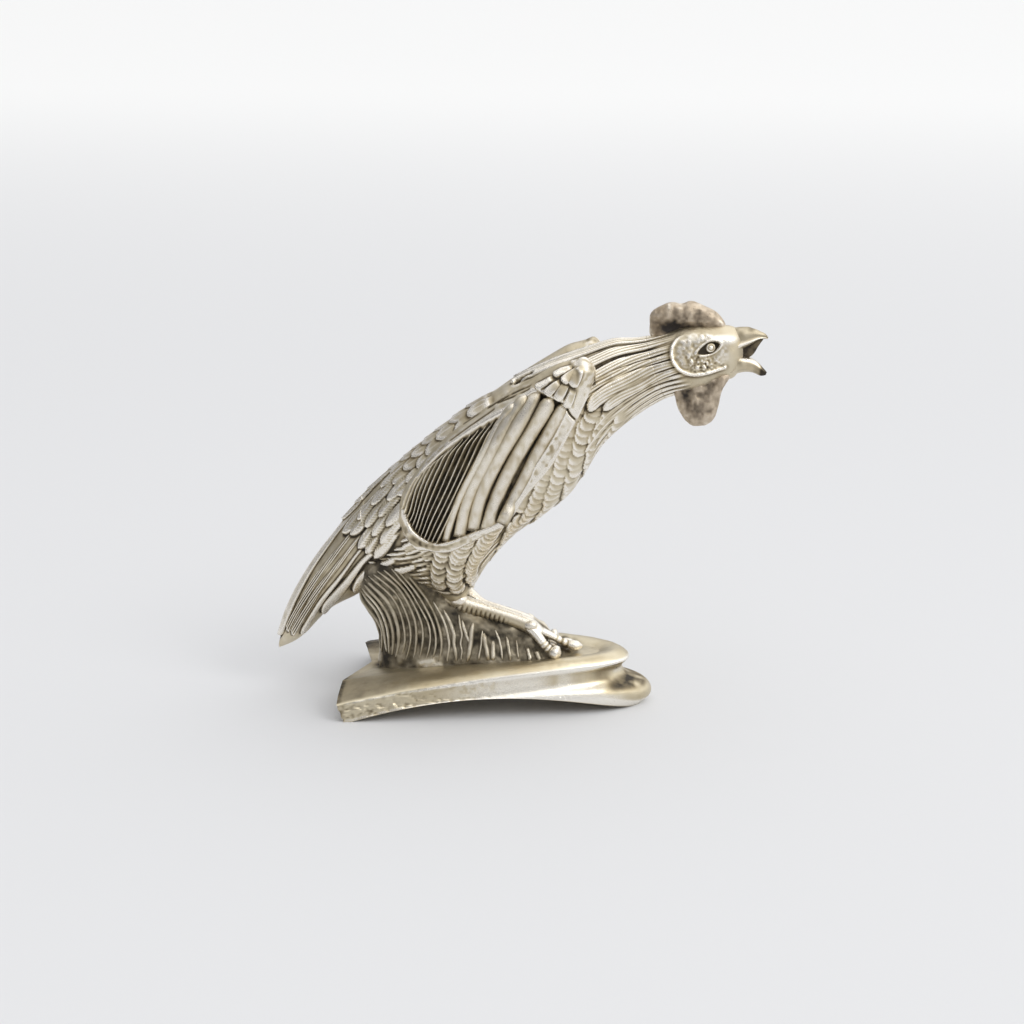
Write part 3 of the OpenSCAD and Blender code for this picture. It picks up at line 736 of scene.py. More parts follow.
def carveHead(skin, plan):
    points = skin["points"]
    x, z = points[:, :, 0], points[:, :, 2]
    side = smoothStep(np.abs(skin["normals"][:, :, 1]), 0.05, 0.45)
    rim = pathDistance(x, z, smoothPath(plan["rim"], 40))
    disc = plan["disc"]
    inDisc = reachOf(x, z, disc)
    flat = smoothStep(1.25 - inDisc, 0, 0.3)
    relief = skin["relief"] * (1 - flat * side)
    face = np.zeros_like(relief)
    face -= disc["sink"] * smoothStep(1.0 - inDisc, 0, 0.5)
    face += plan["rimRise"] * bell(rim, plan["rimWidth"]) * smoothStep(107.5 - z, 0, 5)
    face += plan["brow"]["rise"] * lump(x, z, plan["brow"])
    face += plan["lore"]["rise"] * lump(x, z, plan["lore"])
    rough = valueNoise(points, 0.9, 11) + 0.6 * valueNoise(points, 0.5, 12)
    face += (plan["cheek"]["rise"] + 0.3 * rough) * lump(x, z, plan["cheek"])
    eye = plan["eye"]
    tilt = math.radians(eye["tilt"])
    eyeX, eyeZ = x - eye["centre"][0], z - eye["centre"][1]
    along = eyeX * math.cos(tilt) + eyeZ * math.sin(tilt)
    across = -eyeX * math.sin(tilt) + eyeZ * math.cos(tilt)
    tail = np.where(along < 0, 1.35, 1.0)
    almond = np.abs(along / (eye["length"] * tail)) ** 1.6 + np.abs(across / eye["height"]) ** 1.6
    socket = smoothStep(1.0 - almond, -0.15, 0.35)
    lid = bell(almond - 1.12, 0.3)
    ball = np.hypot(along - 0.3, across)
    face = face * (1 - socket) - 0.55 * socket + 0.28 * lid
    face += 1.0 * np.sqrt(np.clip(1 - (ball / 1.35) ** 2, 0, 1)) * socket
    face += (-0.16 * bell(ball - 0.72, 0.2) + 0.1 * bell(ball, 0.4)) * socket
    mottle = valueNoise(points, 1.7, 13) + 0.7 * valueNoise(points, 0.8, 14)
    face += 0.14 * mottle * flat * (1 - socket)
    skin["relief"] = relief + face * side
    # painted shade in the eye socket and over the eyeball and a painted highlight on the brow; the other
    # terms darken the cheek, mottle the face, draw a streak behind the eye and lighten the face disc
    shade = 0.5 * socket * smoothStep(ball, 0.9, 1.5) + 0.3 * socket + 0.3 * flat * lump(x, z, plan["cheek"])
    shade = shade + 0.22 * flat * smoothStep(mottle, 0.2, 1.1) - 0.35 * lump(x, z, plan["brow"])
    tear = np.hypot((x - 50.6) * 0.6 + (z - 101.6) * 0.35, (z - 101.6) * 0.8 - (x - 50.6) * 0.75)
    shade = shade + 0.5 * bell(tear, 0.8) * flat - 0.25 * flat * (1 - socket)
    skin["stainAndShading"] += shade * side


carveHead(bird, headPlan)


wearPlan = {"nearBlur": 6, "nearShare": 5.5, "wideBlur": 40, "wideShare": 1.1,
            "ripple": 0.06, "rippleSize": 2.2}


def recesses(relief, closed=True):
    # above 0 in the grooves, below 0 on the edges that get rubbed
    near = softened(relief, wearPlan["nearBlur"], closed) - relief
    wide = softened(relief, wearPlan["wideBlur"], closed) - relief
    return np.clip(near * wearPlan["nearShare"] + wide * wearPlan["wideShare"], -1, 1)


def finishSkin(skin):
    relief = skin["relief"] + wearPlan["ripple"] * valueNoise(skin["points"], wearPlan["rippleSize"], 3)
    carved = skin["points"] + skin["normals"] * relief[..., None]
    dirtAndShading = np.clip(recesses(relief) + skin["stainAndShading"], -1, 1)
    return carved, dirtAndShading


birdCarved, birdDirtAndShading = finishSkin(bird)


def birdPart(start, stop):
    shell = Shell()
    shell.addTube(birdCarved[start:stop], birdDirtAndShading[start:stop])
    return shell


headShell = birdPart(bird["neckEnd"], len(birdCarved))
print("bird carved")


wingPlan = {
    # from the tip to the shoulder: [bottom x, bottom z, top x, top z, then how far out the wing stands
    # at the bottom edge, low, in the middle, high and at the top edge]
    "rows": [
        [-30.3, 52.8, -31.0, 55.0, 12.0, 13.6, 14.4, 14.0, 12.8],
        [-27.5, 49.0, -30.4, 60.0, 12.4, 16.4, 16.8, 15.6, 13.2],
        [-23.6, 46.7, -27.0, 67.0, 12.8, 17.8, 18.0, 16.4, 13.2],
        [-18.5, 46.3, -22.1, 73.6, 13.0, 18.8, 19.0, 17.2, 13.2],
        [-13.4, 47.6, -15.9, 79.8, 13.0, 19.3, 19.5, 18.0, 13.3],
        [-6.5, 51.5, -8.9, 85.2, 13.2, 19.6, 19.9, 18.6, 13.5],
        [-0.2, 55.4, -2.3, 90.0, 13.4, 19.8, 20.1, 19.1, 13.8],
        [5.2, 63.4, 3.6, 93.9, 13.4, 19.8, 20.2, 19.4, 14.0],
        [11.2, 70.8, 9.5, 97.6, 13.0, 19.7, 20.2, 19.4, 14.3],
        [16.1, 79.5, 14.6, 100.2, 12.5, 19.2, 19.9, 19.1, 14.6],
        [19.6, 87.0, 18.8, 101.4, 12.0, 18.4, 19.3, 18.6, 14.8],
        [21.8, 92.5, 21.6, 101.0, 12.0, 17.2, 18.2, 17.8, 14.8],
        [22.9, 95.8, 23.1, 98.8, 12.0, 15.6, 16.6, 16.4, 14.4],
    ],
    "rowCount": 250, "columnCount": 150, "cornerColumns": 15,
    "innerY": 9.0, "turnIn": (5.5, 6.5), "edgeRound": 0.035,
    # the sunk panel that holds the ribs and the fins
    "panel": [[16.4, 88.6], [12.9, 81.2], [9.2, 75.0], [7.2, 71.6], [6.4, 69.4], [5.2, 67.0], [3.2, 63.6],
              [0.6, 60.0], [-1.8, 57.0], [-7, 54.1],
              [-13.4, 51.3], [-18.5, 49.6], [-22.6, 50.0], [-25.2, 51.8], [-27.8, 54.8], [-28.8, 58.8],
              [-27, 64.6], [-23.3, 70.0], [-19.2, 74.4], [-11.7, 80.3], [-7.9, 82.8], [-0.6, 87.2],
              [3.5, 90.2], [8, 93.0], [12.8, 91.2], [15.6, 89.6]],
    "sink": 2.0,
    "ribs": asPlans(("width", "height", "narrow", "path"), [
        [3.9, 1.9, 0.12, [[15.2, 89.6], [11.7, 82.6], [7.8, 75.1], [4.0, 67.2], [0.6, 60.2], [-1.4, 55.9]]],
        [4.3, 2.0, 0.12, [[12.0, 91.4], [7.7, 84.0], [3.4, 76.5], [-0.2, 69.3], [-3.6, 60.9], [-5.6, 53.9]]],
        [4.1, 1.95, 0.1, [[8.8, 92.4], [4.6, 85.9], [0.1, 78.6], [-3.9, 71.2], [-7.2, 63.4], [-9.6, 53.1]]],
        [3.7, 1.85, 0.1, [[5.2, 91.2], [0.9, 84.9], [-3.3, 77.8], [-7.2, 70.4], [-10.6, 62.9],
                          [-13.4, 51.4]]],
        [2.6, 1.7, 0.2, [[2.0, 88.9], [-2.4, 82.4], [-6.6, 75.3], [-10.5, 68.2], [-14.0, 60.6],
                         [-17.3, 50.0]]],
    ]),
    "sunk": 0.5,
    "fins": {"count": 12, "width": 0.6, "height": 1.75,
             "starts": [[-1.0, 87.0], [-7.4, 82.6], [-13.0, 78.8], [-18.6, 73.6], [-23.4, 68.4]],
             "ends": [[-19.4, 49.6], [-22.4, 50.2], [-24.8, 52.0], [-26.8, 54.6], [-28.4, 58.4]]},
    # covert feathers from their roots to their tips
    "coverts": [[16.3, 99.9, 12.6, 96.9], [17.9, 99.1, 15.0, 95.7], [19.3, 98.3, 17.5, 94.7],
                [12.6, 97.0, 7.8, 93.4], [14.2, 96.1, 10.6, 92.2], [16.2, 95.4, 13.4, 91.0],
                [18.2, 94.4, 15.8, 88.8]],
    "covertShape": {"length": 5.6, "width": 2.7, "rise": 1.1, "round": 0.2, "tipPower": 3.0, "crown": 0.3,
                    "soft": 0.25},
    "rim": {"path": [[18.8, 101.6], [21.4, 100.2], [21.9, 97.6], [21.2, 94.0], [19.9, 90.2], [18.7, 87.2]],
            "width": 3.0, "rise": 0.3},
    "lobe": [[17.8, 87.0], [15.2, 81.5], [12.2, 76.2], [9.6, 71.4], [7.8, 67.4]],
    "crease": [[16.2, 88.6], [17.2, 86.6], [18.6, 85.2]],
    "lines": [[[13.5, 97.9], [3.7, 92.0], [-3.2, 88.6]],
              [[10.6, 96.0], [0.2, 90.9], [-7.4, 86.0], [-12.7, 82.3]],
              [[-4.0, 87.0], [-10.0, 82.6], [-17.5, 76.6], [-22.5, 71.4]]],
    "tipLobe": {"centre": (-27.6, 51.6), "size": (1.9, 1.7), "rise": 0.8},
}


def insidePath(x, z, path):
    inside = np.zeros(x.shape, bool)
    for a, b in zip(path, np.roll(path, -1, axis=0)):
        crosses = (a[1] > z) != (b[1] > z)
        rise = np.where(b[1] == a[1], 1e-9, b[1] - a[1])
        inside ^= crosses & (x < (b[0] - a[0]) * (z - a[1]) / rise + a[0])
    return inside


def makeWingSkin(plan):
    rows = np.array(plan["rows"], float)
    knots = pathLength((rows[:, 0:2] + rows[:, 2:4]) / 2)
    rows = splineThrough(knots, rows, np.linspace(0, knots[-1], plan["rowCount"]))
    bent = plan["cornerColumns"]
    turn = np.linspace(0, np.pi / 2, bent)
    corner = plan["edgeRound"] * (1 - np.cos(turn))
    flat = plan["columnCount"] - bent
    share = np.concatenate([corner[:-1], np.linspace(plan["edgeRound"], 1, flat + 1)])
    stand = splineThrough([0, 0.5, 0.84, 1.0], rows[:, 5:9].T, share).T
    stand = stand - (stand - rows[:, 4:5]) * np.concatenate([1 - np.sin(turn), np.zeros(flat)])
    points = np.stack([rows[:, 0:1] * (1 - share) + rows[:, 2:3] * share, -stand,
                       rows[:, 1:2] * (1 - share) + rows[:, 3:4] * share], axis=-1)
    turn = turn[1:]
    inward = points[:, -1:, :] + np.stack([np.zeros(bent - 1), np.sin(turn) * plan["turnIn"][0],
                                           (np.cos(turn) - 1) * plan["turnIn"][1]], axis=-1)
    points = np.concatenate([points, inward], axis=1)
    skin = readySkin(points, points.mean(axis=(0, 1)) * [1, 0, 1], closed=False)
    skin["rowStep"] = np.full(len(rows), knots[-1] / plan["rowCount"])
    return skin


def carveWing(skin, plan):
    points = skin["points"]
    x, z = points[:, :, 0], points[:, :, 2]
    panel = np.array(plan["panel"])
    closed = smoothPath(np.vstack([panel, panel[:1]]), 160)
    depth = pathDistance(x, z, closed) * np.where(insidePath(x, z, closed[:-1]), 1, -1)
    columns = np.arange(points.shape[1])[None, :]
    outer = smoothStep(columns, 8, 15) * smoothStep(plan["columnCount"] - columns, 0, 4)
    inside = smoothStep(depth, -0.1, 0.4) * outer
    relief = -plan["sink"] * inside
    lobe = plan["tipLobe"]
    relief += lobe["rise"] * lump(x, z, lobe) * outer
    rim = plan["rim"]
    fromRim = pathDistance(x, z, smoothPath(rim["path"], 40))
    relief += rim["rise"] * smoothStep(rim["width"] - fromRim, 0, 1.2) * outer
    crease = bell(pathDistance(x, z, smoothPath(plan["crease"], 12)), 0.34) * outer
    relief -= 0.75 * crease
    scratches = np.zeros(x.shape)
    broken = patches(points, 2.4, 22, -0.55, 0.0)
    for line in plan["lines"]:
        scratches = np.maximum(scratches, bell(pathDistance(x, z, smoothPath(line, 30)), 0.2) * broken)
    relief -= 0.2 * scratches * outer
    relief += 0.05 * valueNoise(points, 1.6, 21) * outer
    skin["base"] = relief
    edge = smoothStep(columns, 2, 12) * smoothStep(22 - columns, 0, 6)
    # painted shade together with patina on the sunk panel; the crease and scratches darken and the bottom
    # bevel is lighter
    skin["stainAndShading"] = 0.75 * inside + 0.55 * crease + 0.45 * scratches - 0.55 * edge
    pale = np.minimum(pathDistance(x, z, smoothPath(plan["lobe"], 20)), fromRim)
    worn = smoothStep(2.6 - pale, 0, 1.2) * (1 - inside)
    skin["stainAndShading"] += (0.5 * patches(points, 1.1, 23, -0.1, 1.0) - 0.3) * worn
    skin["stainAndShading"] += 0.3 * inside * patches(points, 1.5, 24, -0.6, 0.8)
    lowRim = smoothStep(depth, -2.4, -1.9) * (1 - inside) * smoothStep(57 - z, 0, 4)
    skin["stainAndShading"] += lowRim * (0.3 + 0.4 * patches(points, 0.9, 25, -0.3, 0.9))
    for rootX, rootZ, tipX, tipZ in plan["coverts"]:
        heading = unit(np.array([tipX - rootX, 0.0, tipZ - rootZ]))
        layFeather(skin, findSpot(skin, tipX, tipZ), heading, plan["covertShape"])
    covert = skin["relief"]
    skin["relief"] = np.where(covert > 0.01, covert + np.maximum(relief, -0.3), relief)
    skin["stainAndShading"] = np.where(covert > 0.05, skin["stainAndShading"] * 0.25, skin["stainAndShading"])


def surfacePoints(skin, path):
    # points and normals of the skin under a path of x and z
    spots = [findSpot(skin, x, z) for x, z in path]
    points = np.array([skin["points"][s] for s in spots])
    points[:, [0, 2]] = path
    points[:, 1] = softenedLine(points[:, 1], 3)
    normals = unit(np.array([skin["normals"][s] for s in spots]))
    return points, unit(softenedLine(normals, 3))


def sweepRidge(shell, points, normals, widths, heights, sink, dirtAndShading, section, power):
    # a closed ridge along a line on a surface, round on top and sunk at its foot
    across = unit(np.cross(unit(np.gradient(points, axis=0)), normals))
    turn = np.linspace(0, np.pi, section)
    side = np.cos(turn)
    rise = np.sin(turn) ** power
    rings = (points[:, None] + across[:, None] * (side * widths[:, None] / 2)[..., None]
             + normals[:, None] * (rise * heights[:, None])[..., None])
    foot = (points[:, None] + across[:, None] * (np.array([-0.42, 0.42]) * widths[:, None])[..., None]
            - normals[:, None] * sink)
    ring = np.concatenate([rings, foot], axis=1)
    top = np.concatenate([rise, [0.0, 0.0]])
    shell.addTube(ring, dirtAndShading * (1 - 1.35 * top) + 0.3 * np.maximum(valueNoise(ring, 1.1, 45), 0))


def makeWing(side, plan):
    skin = makeWingSkin(plan)
    carveWing(skin, plan)
    points = skin["points"]
    carved = points + skin["normals"] * skin["relief"][..., None]
    dirtAndShading = np.clip(recesses(skin["relief"], False) * 0.8 + skin["stainAndShading"], -1, 1)
    shell = Shell()
    # the face continues round the back as a flat wall inside the body
    back = carved[:, [-1, 0]].copy()
    back[:, :, 1] = -plan["innerY"]
    ring = np.concatenate([carved, back], axis=1)
    shell.addTube(ring, np.concatenate([dirtAndShading, np.zeros((len(dirtAndShading), 2))], axis=1))

    floor = {"points": points + skin["normals"] * skin["base"][..., None], "normals": skin["normals"]}
    # ribs and fins are darker at their feet, painted shade with patina in the sunk panel, and lighter on
    # their crests
    for rib in plan["ribs"]:
        path = smoothPath(rib["path"], 34)
        place, normal = surfacePoints(floor, path)
        share = np.linspace(0, 1, len(path))
        widths = rib["width"] * (1 - rib["narrow"] * share) * (0.3 + 0.7 * smoothStep(share, -0.01, 0.05))
        wobble = 1 + 0.035 * valueNoise(place, 1.3, 31)
        heights = rib["height"] * (0.2 + 0.8 * smoothStep(1 - share, 0, 0.09)) * wobble
        heights = heights * (0.3 + 0.7 * smoothStep(share, 0, 0.06))
        sweepRidge(shell, place, normal, widths * wobble, heights, plan["sunk"], 0.85, 15, 0.5)
    fins = plan["fins"]
    starts = smoothPath(fins["starts"], fins["count"])
    ends = smoothPath(fins["ends"], fins["count"])
    for number, (start, end) in enumerate(zip(starts, ends)):
        start = start + (end - start) * 0.04
        middle = (start + end) / 2 + np.array([-0.5, 0.5])
        path = smoothPath([start, middle, end], 28)
        place, normal = surfacePoints(floor, path)
        share = np.linspace(0, 1, len(path))
        width = fins["width"] * dice.uniform(0.75, 1.3) * (0.4 + 0.6 * smoothStep(share, 0, 0.35))
        width = width * (0.4 + 0.6 * smoothStep(1 - share, 0, 0.05))
        height = fins["height"] * (0.1 + 0.9 * smoothStep(share, 0, 0.2))
        height = height * (1 + 0.08 * valueNoise(place, 1.1, 41))
        sweepRidge(shell, place, normal, width, height, plan["sunk"], 0.9, 7, 0.8)
    if side > 0:
        for points in shell.points:
            points[:, 1] *= -1
    return shell


for side, hand in sides:
    makePiece("bird_wing_" + hand, makeWing(side, wingPlan), birdFinish, ["wing_" + hand])
print("wings ready")


footPlan = {
    # from the foot up: [rear x, front x, half width, rear z, front z]
    "levels": [
        [-44.7, 36.5, 28.5, 0, 0], [-45.2, 39.0, 28.85, 1.4, 3.0], [-45.6, 37.0, 28.8, 2.6, 6.2],
        [-46.0, 31.6, 28.7, 3.4, 8.2], [-46.2, 30.8, 28.6, 4.0, 11.0], [-46.5, 32.6, 28.45, 4.6, 13.0],
        [-46.6, 31.8, 27.9, 5.0, 14.0], [-47.0, 24.0, 17.0, 8.1, 14.2],
    ],
    "frontPower": 2.17, "notch": 5.2, "crown": 0.2,
    "archRadius": 129.03, "archMiddle": -4.25, "archRise": 5.8,
    "rearColumns": 16, "sideColumns": 300, "lowRows": 34, "highRows": 50, "deckRows": 26, "fineRows": 260,
    "columnGather": 1.35, "ridgeStart": 5.0, "ridgeEnd": -3.5,
    # the underside value below is painted shade over the arched underside
    "castRough": 0.5, "deckRough": 0.06, "underShade": 0.35,
    # rows from the deck's first row where the wall's wear ends and the deck's begins
    "wallEnd": (-38, -43), "deckBegin": (-40, -33), "lipRow": -41,
    "bolts": {"places": (-34.8, -21.5), "size": 5.0}, "screw": {"places": (4.0,), "size": 4.0},
    "bushes": {"places": (-10.0, 18.0), "radius": 4.55, "top": 12.0},
}


def archHeight(plan, x):
    return np.maximum(0.0, plan["archRise"] - plan["archRadius"]
                      + np.sqrt(plan["archRadius"] ** 2 - (x - plan["archMiddle"]) ** 2))


def makeFootGrid(plan):
    rearX, frontX, halfWidth, rearZ, frontZ = np.array(plan["levels"], float).T[:, :, None]
    power = plan["frontPower"]
    turn = np.linspace(0, 1, plan["sideColumns"])
    left = 1 - (1 - (1 - turn) ** plan["columnGather"])
    ahead = 1 - left ** power
    y = halfWidth * left
    z = rearZ + (1 - left ** (2 * power)) * (frontZ - rearZ)
    side = np.stack([rearX + ahead * (frontX - rearX), -y, z], axis=-1)
    inset = rearX + plan["notch"] + ahead * (frontX - rearX - plan["notch"])
    middle = np.stack([inset, np.zeros_like(y), z], axis=-1)
    step = np.linspace(0, 1, plan["rearColumns"])[:-1, None]
    notch = middle[:, :1].copy()
    middle[:, :, 0] += plan["ridgeStart"] * left ** power + plan["ridgeEnd"] * ahead
    edge = np.concatenate([notch + (side[:, :1] - notch) * step, side], axis=1)
    centre = np.concatenate([notch + (middle[:, :1] - notch) * step, middle], axis=1)
    knots = np.array([pathLength(edge[:, j]) for j in range(edge.shape[1])]).mean(axis=0)
    count = plan["fineRows"]
    fine = np.linspace(0, knots[-1], count)
    profile = splineThrough(knots, edge.reshape(len(knots), -1), fine).reshape(count, -1, 3)
    above = profile[:, :, 2] - archHeight(plan, profile[:, :, 0])
    cut = np.array([np.flatnonzero(above[:150, j] <= 0.0).max(initial=0) for j in range(edge.shape[1])])
    cut = np.where(cut > 0, cut + 0.5, 0.0)
    hold = np.searchsorted(fine, knots[4])
    low = cut[None, :] + (hold - cut)[None, :] * np.linspace(0, 1, plan["lowRows"])[:-1, None]
    high = np.linspace(hold, count - 1, plan["highRows"])[:, None] + np.zeros((1, edge.shape[1]))
    wanted = np.concatenate([low, high])
    index = np.clip(wanted.astype(int), 0, count - 2)
    part = (wanted - index)[..., None]
    columns = np.arange(edge.shape[1])[None, :]
    wall = profile[index, columns] * (1 - part) + profile[index + 1, columns] * part
    wall[0, :, 2] = archHeight(plan, wall[0, :, 0])
    inward = np.linspace(0, 1, plan["deckRows"])[1:, None, None]
    deck = wall[-1] + (centre[-1] - wall[-1]) * inward
    deck[:, :, 2] += plan["crown"] * (1 - (1 - inward[..., 0]) ** 2)
    under = wall[0] + (centre[0] - wall[0]) * inward[::-1]
    under[:, :, 2] = archHeight(plan, under[:, :, 0])
    half = np.concatenate([under, wall, deck])
    other = half[:, ::-1] * [1, -1, 1]
    return np.concatenate([half, other], axis=1), len(under), len(under) + len(wall)


def moundReach(plan, x, y):
    # below 1 inside the mound's foot, above 1 outside it
    levels = np.array(plan["levels"], float).T
    rear, front, width = [np.interp(plan["footLevel"], levels[0], row) for row in levels[1:]]
    middle, half = (rear + front) / 2, (front - rear) / 2
    power = 2 / plan["corner"]
    return (np.abs((x - middle) / half) ** power + np.abs(y / width) ** power) ** (1 / power)


moundPlan = {
    # [height, rear x, front x, half width]
    "levels": [[5, -39, 23, 12.5], [12.5, -39.0, 19, 12.2], [15.5, -38.4, 12, 11.4], [18, -38.6, 10, 10.6],
               [22, -39.8, 5, 9.8], [24.5, -41.4, -3, 9.4], [27.5, -43.4, -12, 9.2], [30, -44.4, -16, 9.4],
               [34, -44.2, -18.5, 10.0], [37, -43.6, -21.5, 10.9], [39.5, -41.8, -25, 11.2],
               [41.5, -39, -29, 10]],
    "corner": 0.6, "footLevel": 13.5, "rowCount": 150, "columnCount": 300,
    # long blades: one more is laid between each two
    "longBlades": [
        [[-43.8, 31.6], [-39.2, 27.6], [-36.6, 21], [-35.8, 13.4]],
        [[-43.4, 34.6], [-38.4, 30.6], [-34.9, 24.6], [-33.6, 18.7], [-34.4, 12.9]],
        [[-41.6, 37.6], [-34.8, 32.4], [-31.7, 27.1], [-30.4, 22], [-30.5, 15.3], [-32.4, 11.9]],
        [[-38.6, 39.2], [-32.2, 34.6], [-29, 28.6], [-27.2, 24], [-26.8, 18.3], [-28, 12.1]],
        [[-34.6, 40.2], [-28.8, 34.0], [-26.0, 28.3], [-23.3, 23.2], [-22.9, 16.6], [-24.8, 12.0]],
        [[-30.2, 39.2], [-25.6, 33.2], [-22.4, 27.6], [-20.2, 22.0], [-19.6, 16.0], [-20.8, 12.2]],
    ],
    "sideBlades": [
        [[-22.6, 30.4], [-19, 24.0], [-17.4, 17.5], [-18.1, 12.6]],
        [[-19.6, 28.0], [-16.4, 21.6], [-15.4, 13.0]],
        [[-15.2, 26.6], [-14, 20.2], [-14.0, 13.2]], [[-10.9, 24.6], [-11.5, 17.7], [-12.2, 13.2]],
        [[-14.2, 24.9], [-11.0, 16.4]], [[-8.2, 22.4], [-8.4, 18.0], [-9.2, 13.4]],
        [[-7.9, 21.6], [-6.1, 13.8]],
        [[-4.8, 22.6], [-2.9, 18.0], [-2.3, 14.0]], [[-5.2, 19.4], [-4.8, 13.8]], [[-1.4, 20.6], [0.1, 13.9]],
        [[1.3, 19.6], [2.2, 14.2]], [[4.3, 17.6], [5.6, 13.8]], [[6.6, 16.4], [8.4, 13.8]],
    ],
    # [y, z] on the rear face
    "rearBlades": [
        [[-5.2, 31.4], [-6.4, 26], [-6.6, 19], [-6.2, 12.8]],
        [[-3.4, 31.2], [-4.2, 25.5], [-4.0, 19], [-3.6, 12.8]],
        [[-1.2, 31.4], [-1.8, 26], [-1.4, 20], [-1.6, 12.8]],
        [[1.4, 31.2], [1.0, 26], [1.5, 19], [1.1, 12.8]], [[3.6, 31.4], [4.1, 25], [3.8, 19], [4.2, 12.8]],
        [[5.4, 31.0], [6.3, 26], [6.6, 19], [6.1, 12.8]],
    ],
    "width": 1.15, "height": 0.9,
}


def makeFoot(plan):
    grid, wallStart, deckStart = makeFootGrid(plan)
    normals = outwardNormals(grid, [-5, 0, 8])
    rows = np.arange(len(grid))[:, None]
    x, y, z = grid[:, :, 0], grid[:, :, 1], grid[:, :, 2]
    fromDeck = rows - deckStart
    onWall = smoothStep(rows, wallStart, wallStart + 3) * smoothStep(fromDeck, *plan["wallEnd"])
    onDeck = smoothStep(fromDeck, *plan["deckBegin"])
    rearward = smoothStep(-x, -4, 32)
    cast = valueNoise(grid, 0.62, 51) + 0.8 * valueNoise(grid, 1.15, 52) + 0.25 * valueNoise(grid, 2.6, 53)
    worn = 0.05 + 0.95 * rearward
    relief = plan["castRough"] * onWall * worn * (cast * 0.5 - 0.35)
    relief += plan["deckRough"] * onDeck * (valueNoise(grid, 3.0, 54) + 0.4 * valueNoise(grid, 0.9, 55))
    relief[rows[:, 0] < wallStart] = 0
    relief *= smoothStep(np.abs(y), 0.02, 1.0)
    points = grid + normals * relief[..., None]
    # painted shade in the concave moulding under the front lip, broken into patches
    scotiaShade = smoothStep(z, 7.6, 9.0) * smoothStep(12.2 - z, 0, 1.2) * smoothStep(x, 6, 26) * onWall
    reach = moundReach(moundPlan, x, y)
    shore = onDeck * bell(np.maximum(reach - 1, 0), 0.06) * patches(grid, 1.5, 56, -0.9, 0.5)
    dirtAndShading = onWall * worn * smoothStep(-cast, 0.1, 1.4) * 0.7
    dirtAndShading += scotiaShade * patches(grid, 5.0, 57, -0.5, 0.4) * 0.75 + shore * 0.85
    dirtAndShading += 0.12 * onDeck * patches(grid, 2.0, 58, 0.2, 0.9)
    flange = smoothStep(x, 20, 32) * smoothStep(z, 4.6, 6.4) * smoothStep(9.4 - z, 0, 1.2) * onWall
    dirtAndShading += 0.45 * flange * patches(grid, 2.2, 59, -0.5, 0.3)
    lip = bell(fromDeck - plan["lipRow"], 3.0)
    lip = lip + smoothStep(rows, wallStart, wallStart + 1) * smoothStep(wallStart + 7 - rows, 0, 4)
    dirtAndShading -= 0.45 * lip * (1 - 0.5 * rearward) + 0.3 * onWall * (1 - rearward)
    dirtAndShading += 0.16 * onDeck * smoothStep(16 - x, 0, 22)
    patch = bell(z - 7.4, 1.6) * smoothStep(x, 25, 30) * onWall
    dirtAndShading += 0.9 * patch * patches(grid, 2.4, 61, -0.9, 0.3) + 0.25 * onWall * smoothStep(x, 26, 36)
    rearEdge = smoothStep(-x, 43.8, 45.6) * onWall + bell(x + 46.6, 0.7) * onDeck
    # painted shade on the inner face of the far rear corner
    dirtAndShading += 0.6 * smoothStep(-x, 33, 42) * smoothStep(y, 5, 14) * smoothStep(z, 2.5, 4.0)
    dirtAndShading += 0.8 * rearEdge * patches(grid, 1.3, 60, -0.9, 0.1)
    dirtAndShading += 0.3 * onDeck * smoothStep(reach - 1.25, 0, 0.4) * smoothStep(-x, 20, 34)
    # painted shade over the whole arched underside
    dirtAndShading[rows[:, 0] < wallStart] = plan["underShade"]
    shell = Shell()
    shell.addTube(points, np.clip(dirtAndShading, -1, 1), False)
    return shell


def makeDrill(plan):
    drill = Shell()
    turn = np.linspace(0, 2 * np.pi, 49)[:-1]

    def bore(x, radius, top):
        ring = np.stack([x + radius * np.cos(turn), radius * np.sin(turn)], axis=-1)
        rows = [np.concatenate([ring, np.full((48, 1), z)], axis=1) for z in (-3.0, top)]
        drill.addTube(np.array(rows), 0.4)

    for fixing in ("bolts", "screw"):
        size = plan[fixing]["size"]
        for x in plan[fixing]["places"]:
            bore(x, (1.8 * size + 1) / 2, archHeight(plan, x) + 0.64 * size + 1.3)
    for x in plan["bushes"]["places"]:
        bore(x, plan["bushes"]["radius"], plan["bushes"]["top"])
    return drill


makePiece("base_foot", makeFoot(footPlan), baseFinish, ["base_plate"], weld=True, crease=38,
          drill=makeDrill(footPlan))


def makeMoundSkin(plan):
    levels = np.array(plan["levels"], float)
    heights = np.linspace(levels[0, 0], levels[-1, 0], plan["rowCount"])
    rows = splineThrough(levels[:, 0], levels, heights)
    turn = np.linspace(0, 2 * np.pi, plan["columnCount"], endpoint=False)
    turn = turn + 0.16 * np.sin(2 * turn)
    squared = [np.sign(v) * np.abs(v) ** plan["corner"] for v in (np.cos(turn), np.sin(turn))]
    middle, half = (rows[:, 1] + rows[:, 2]) / 2, (rows[:, 2] - rows[:, 1]) / 2
    points = np.stack([middle[:, None] + half[:, None] * squared[0], rows[:, 3:4] * squared[1],
                       np.broadcast_to(rows[:, 0:1], (len(rows), len(turn)))], axis=-1)
    return {"points": points, "normals": outwardNormals(points, [-10, 0, 20])}


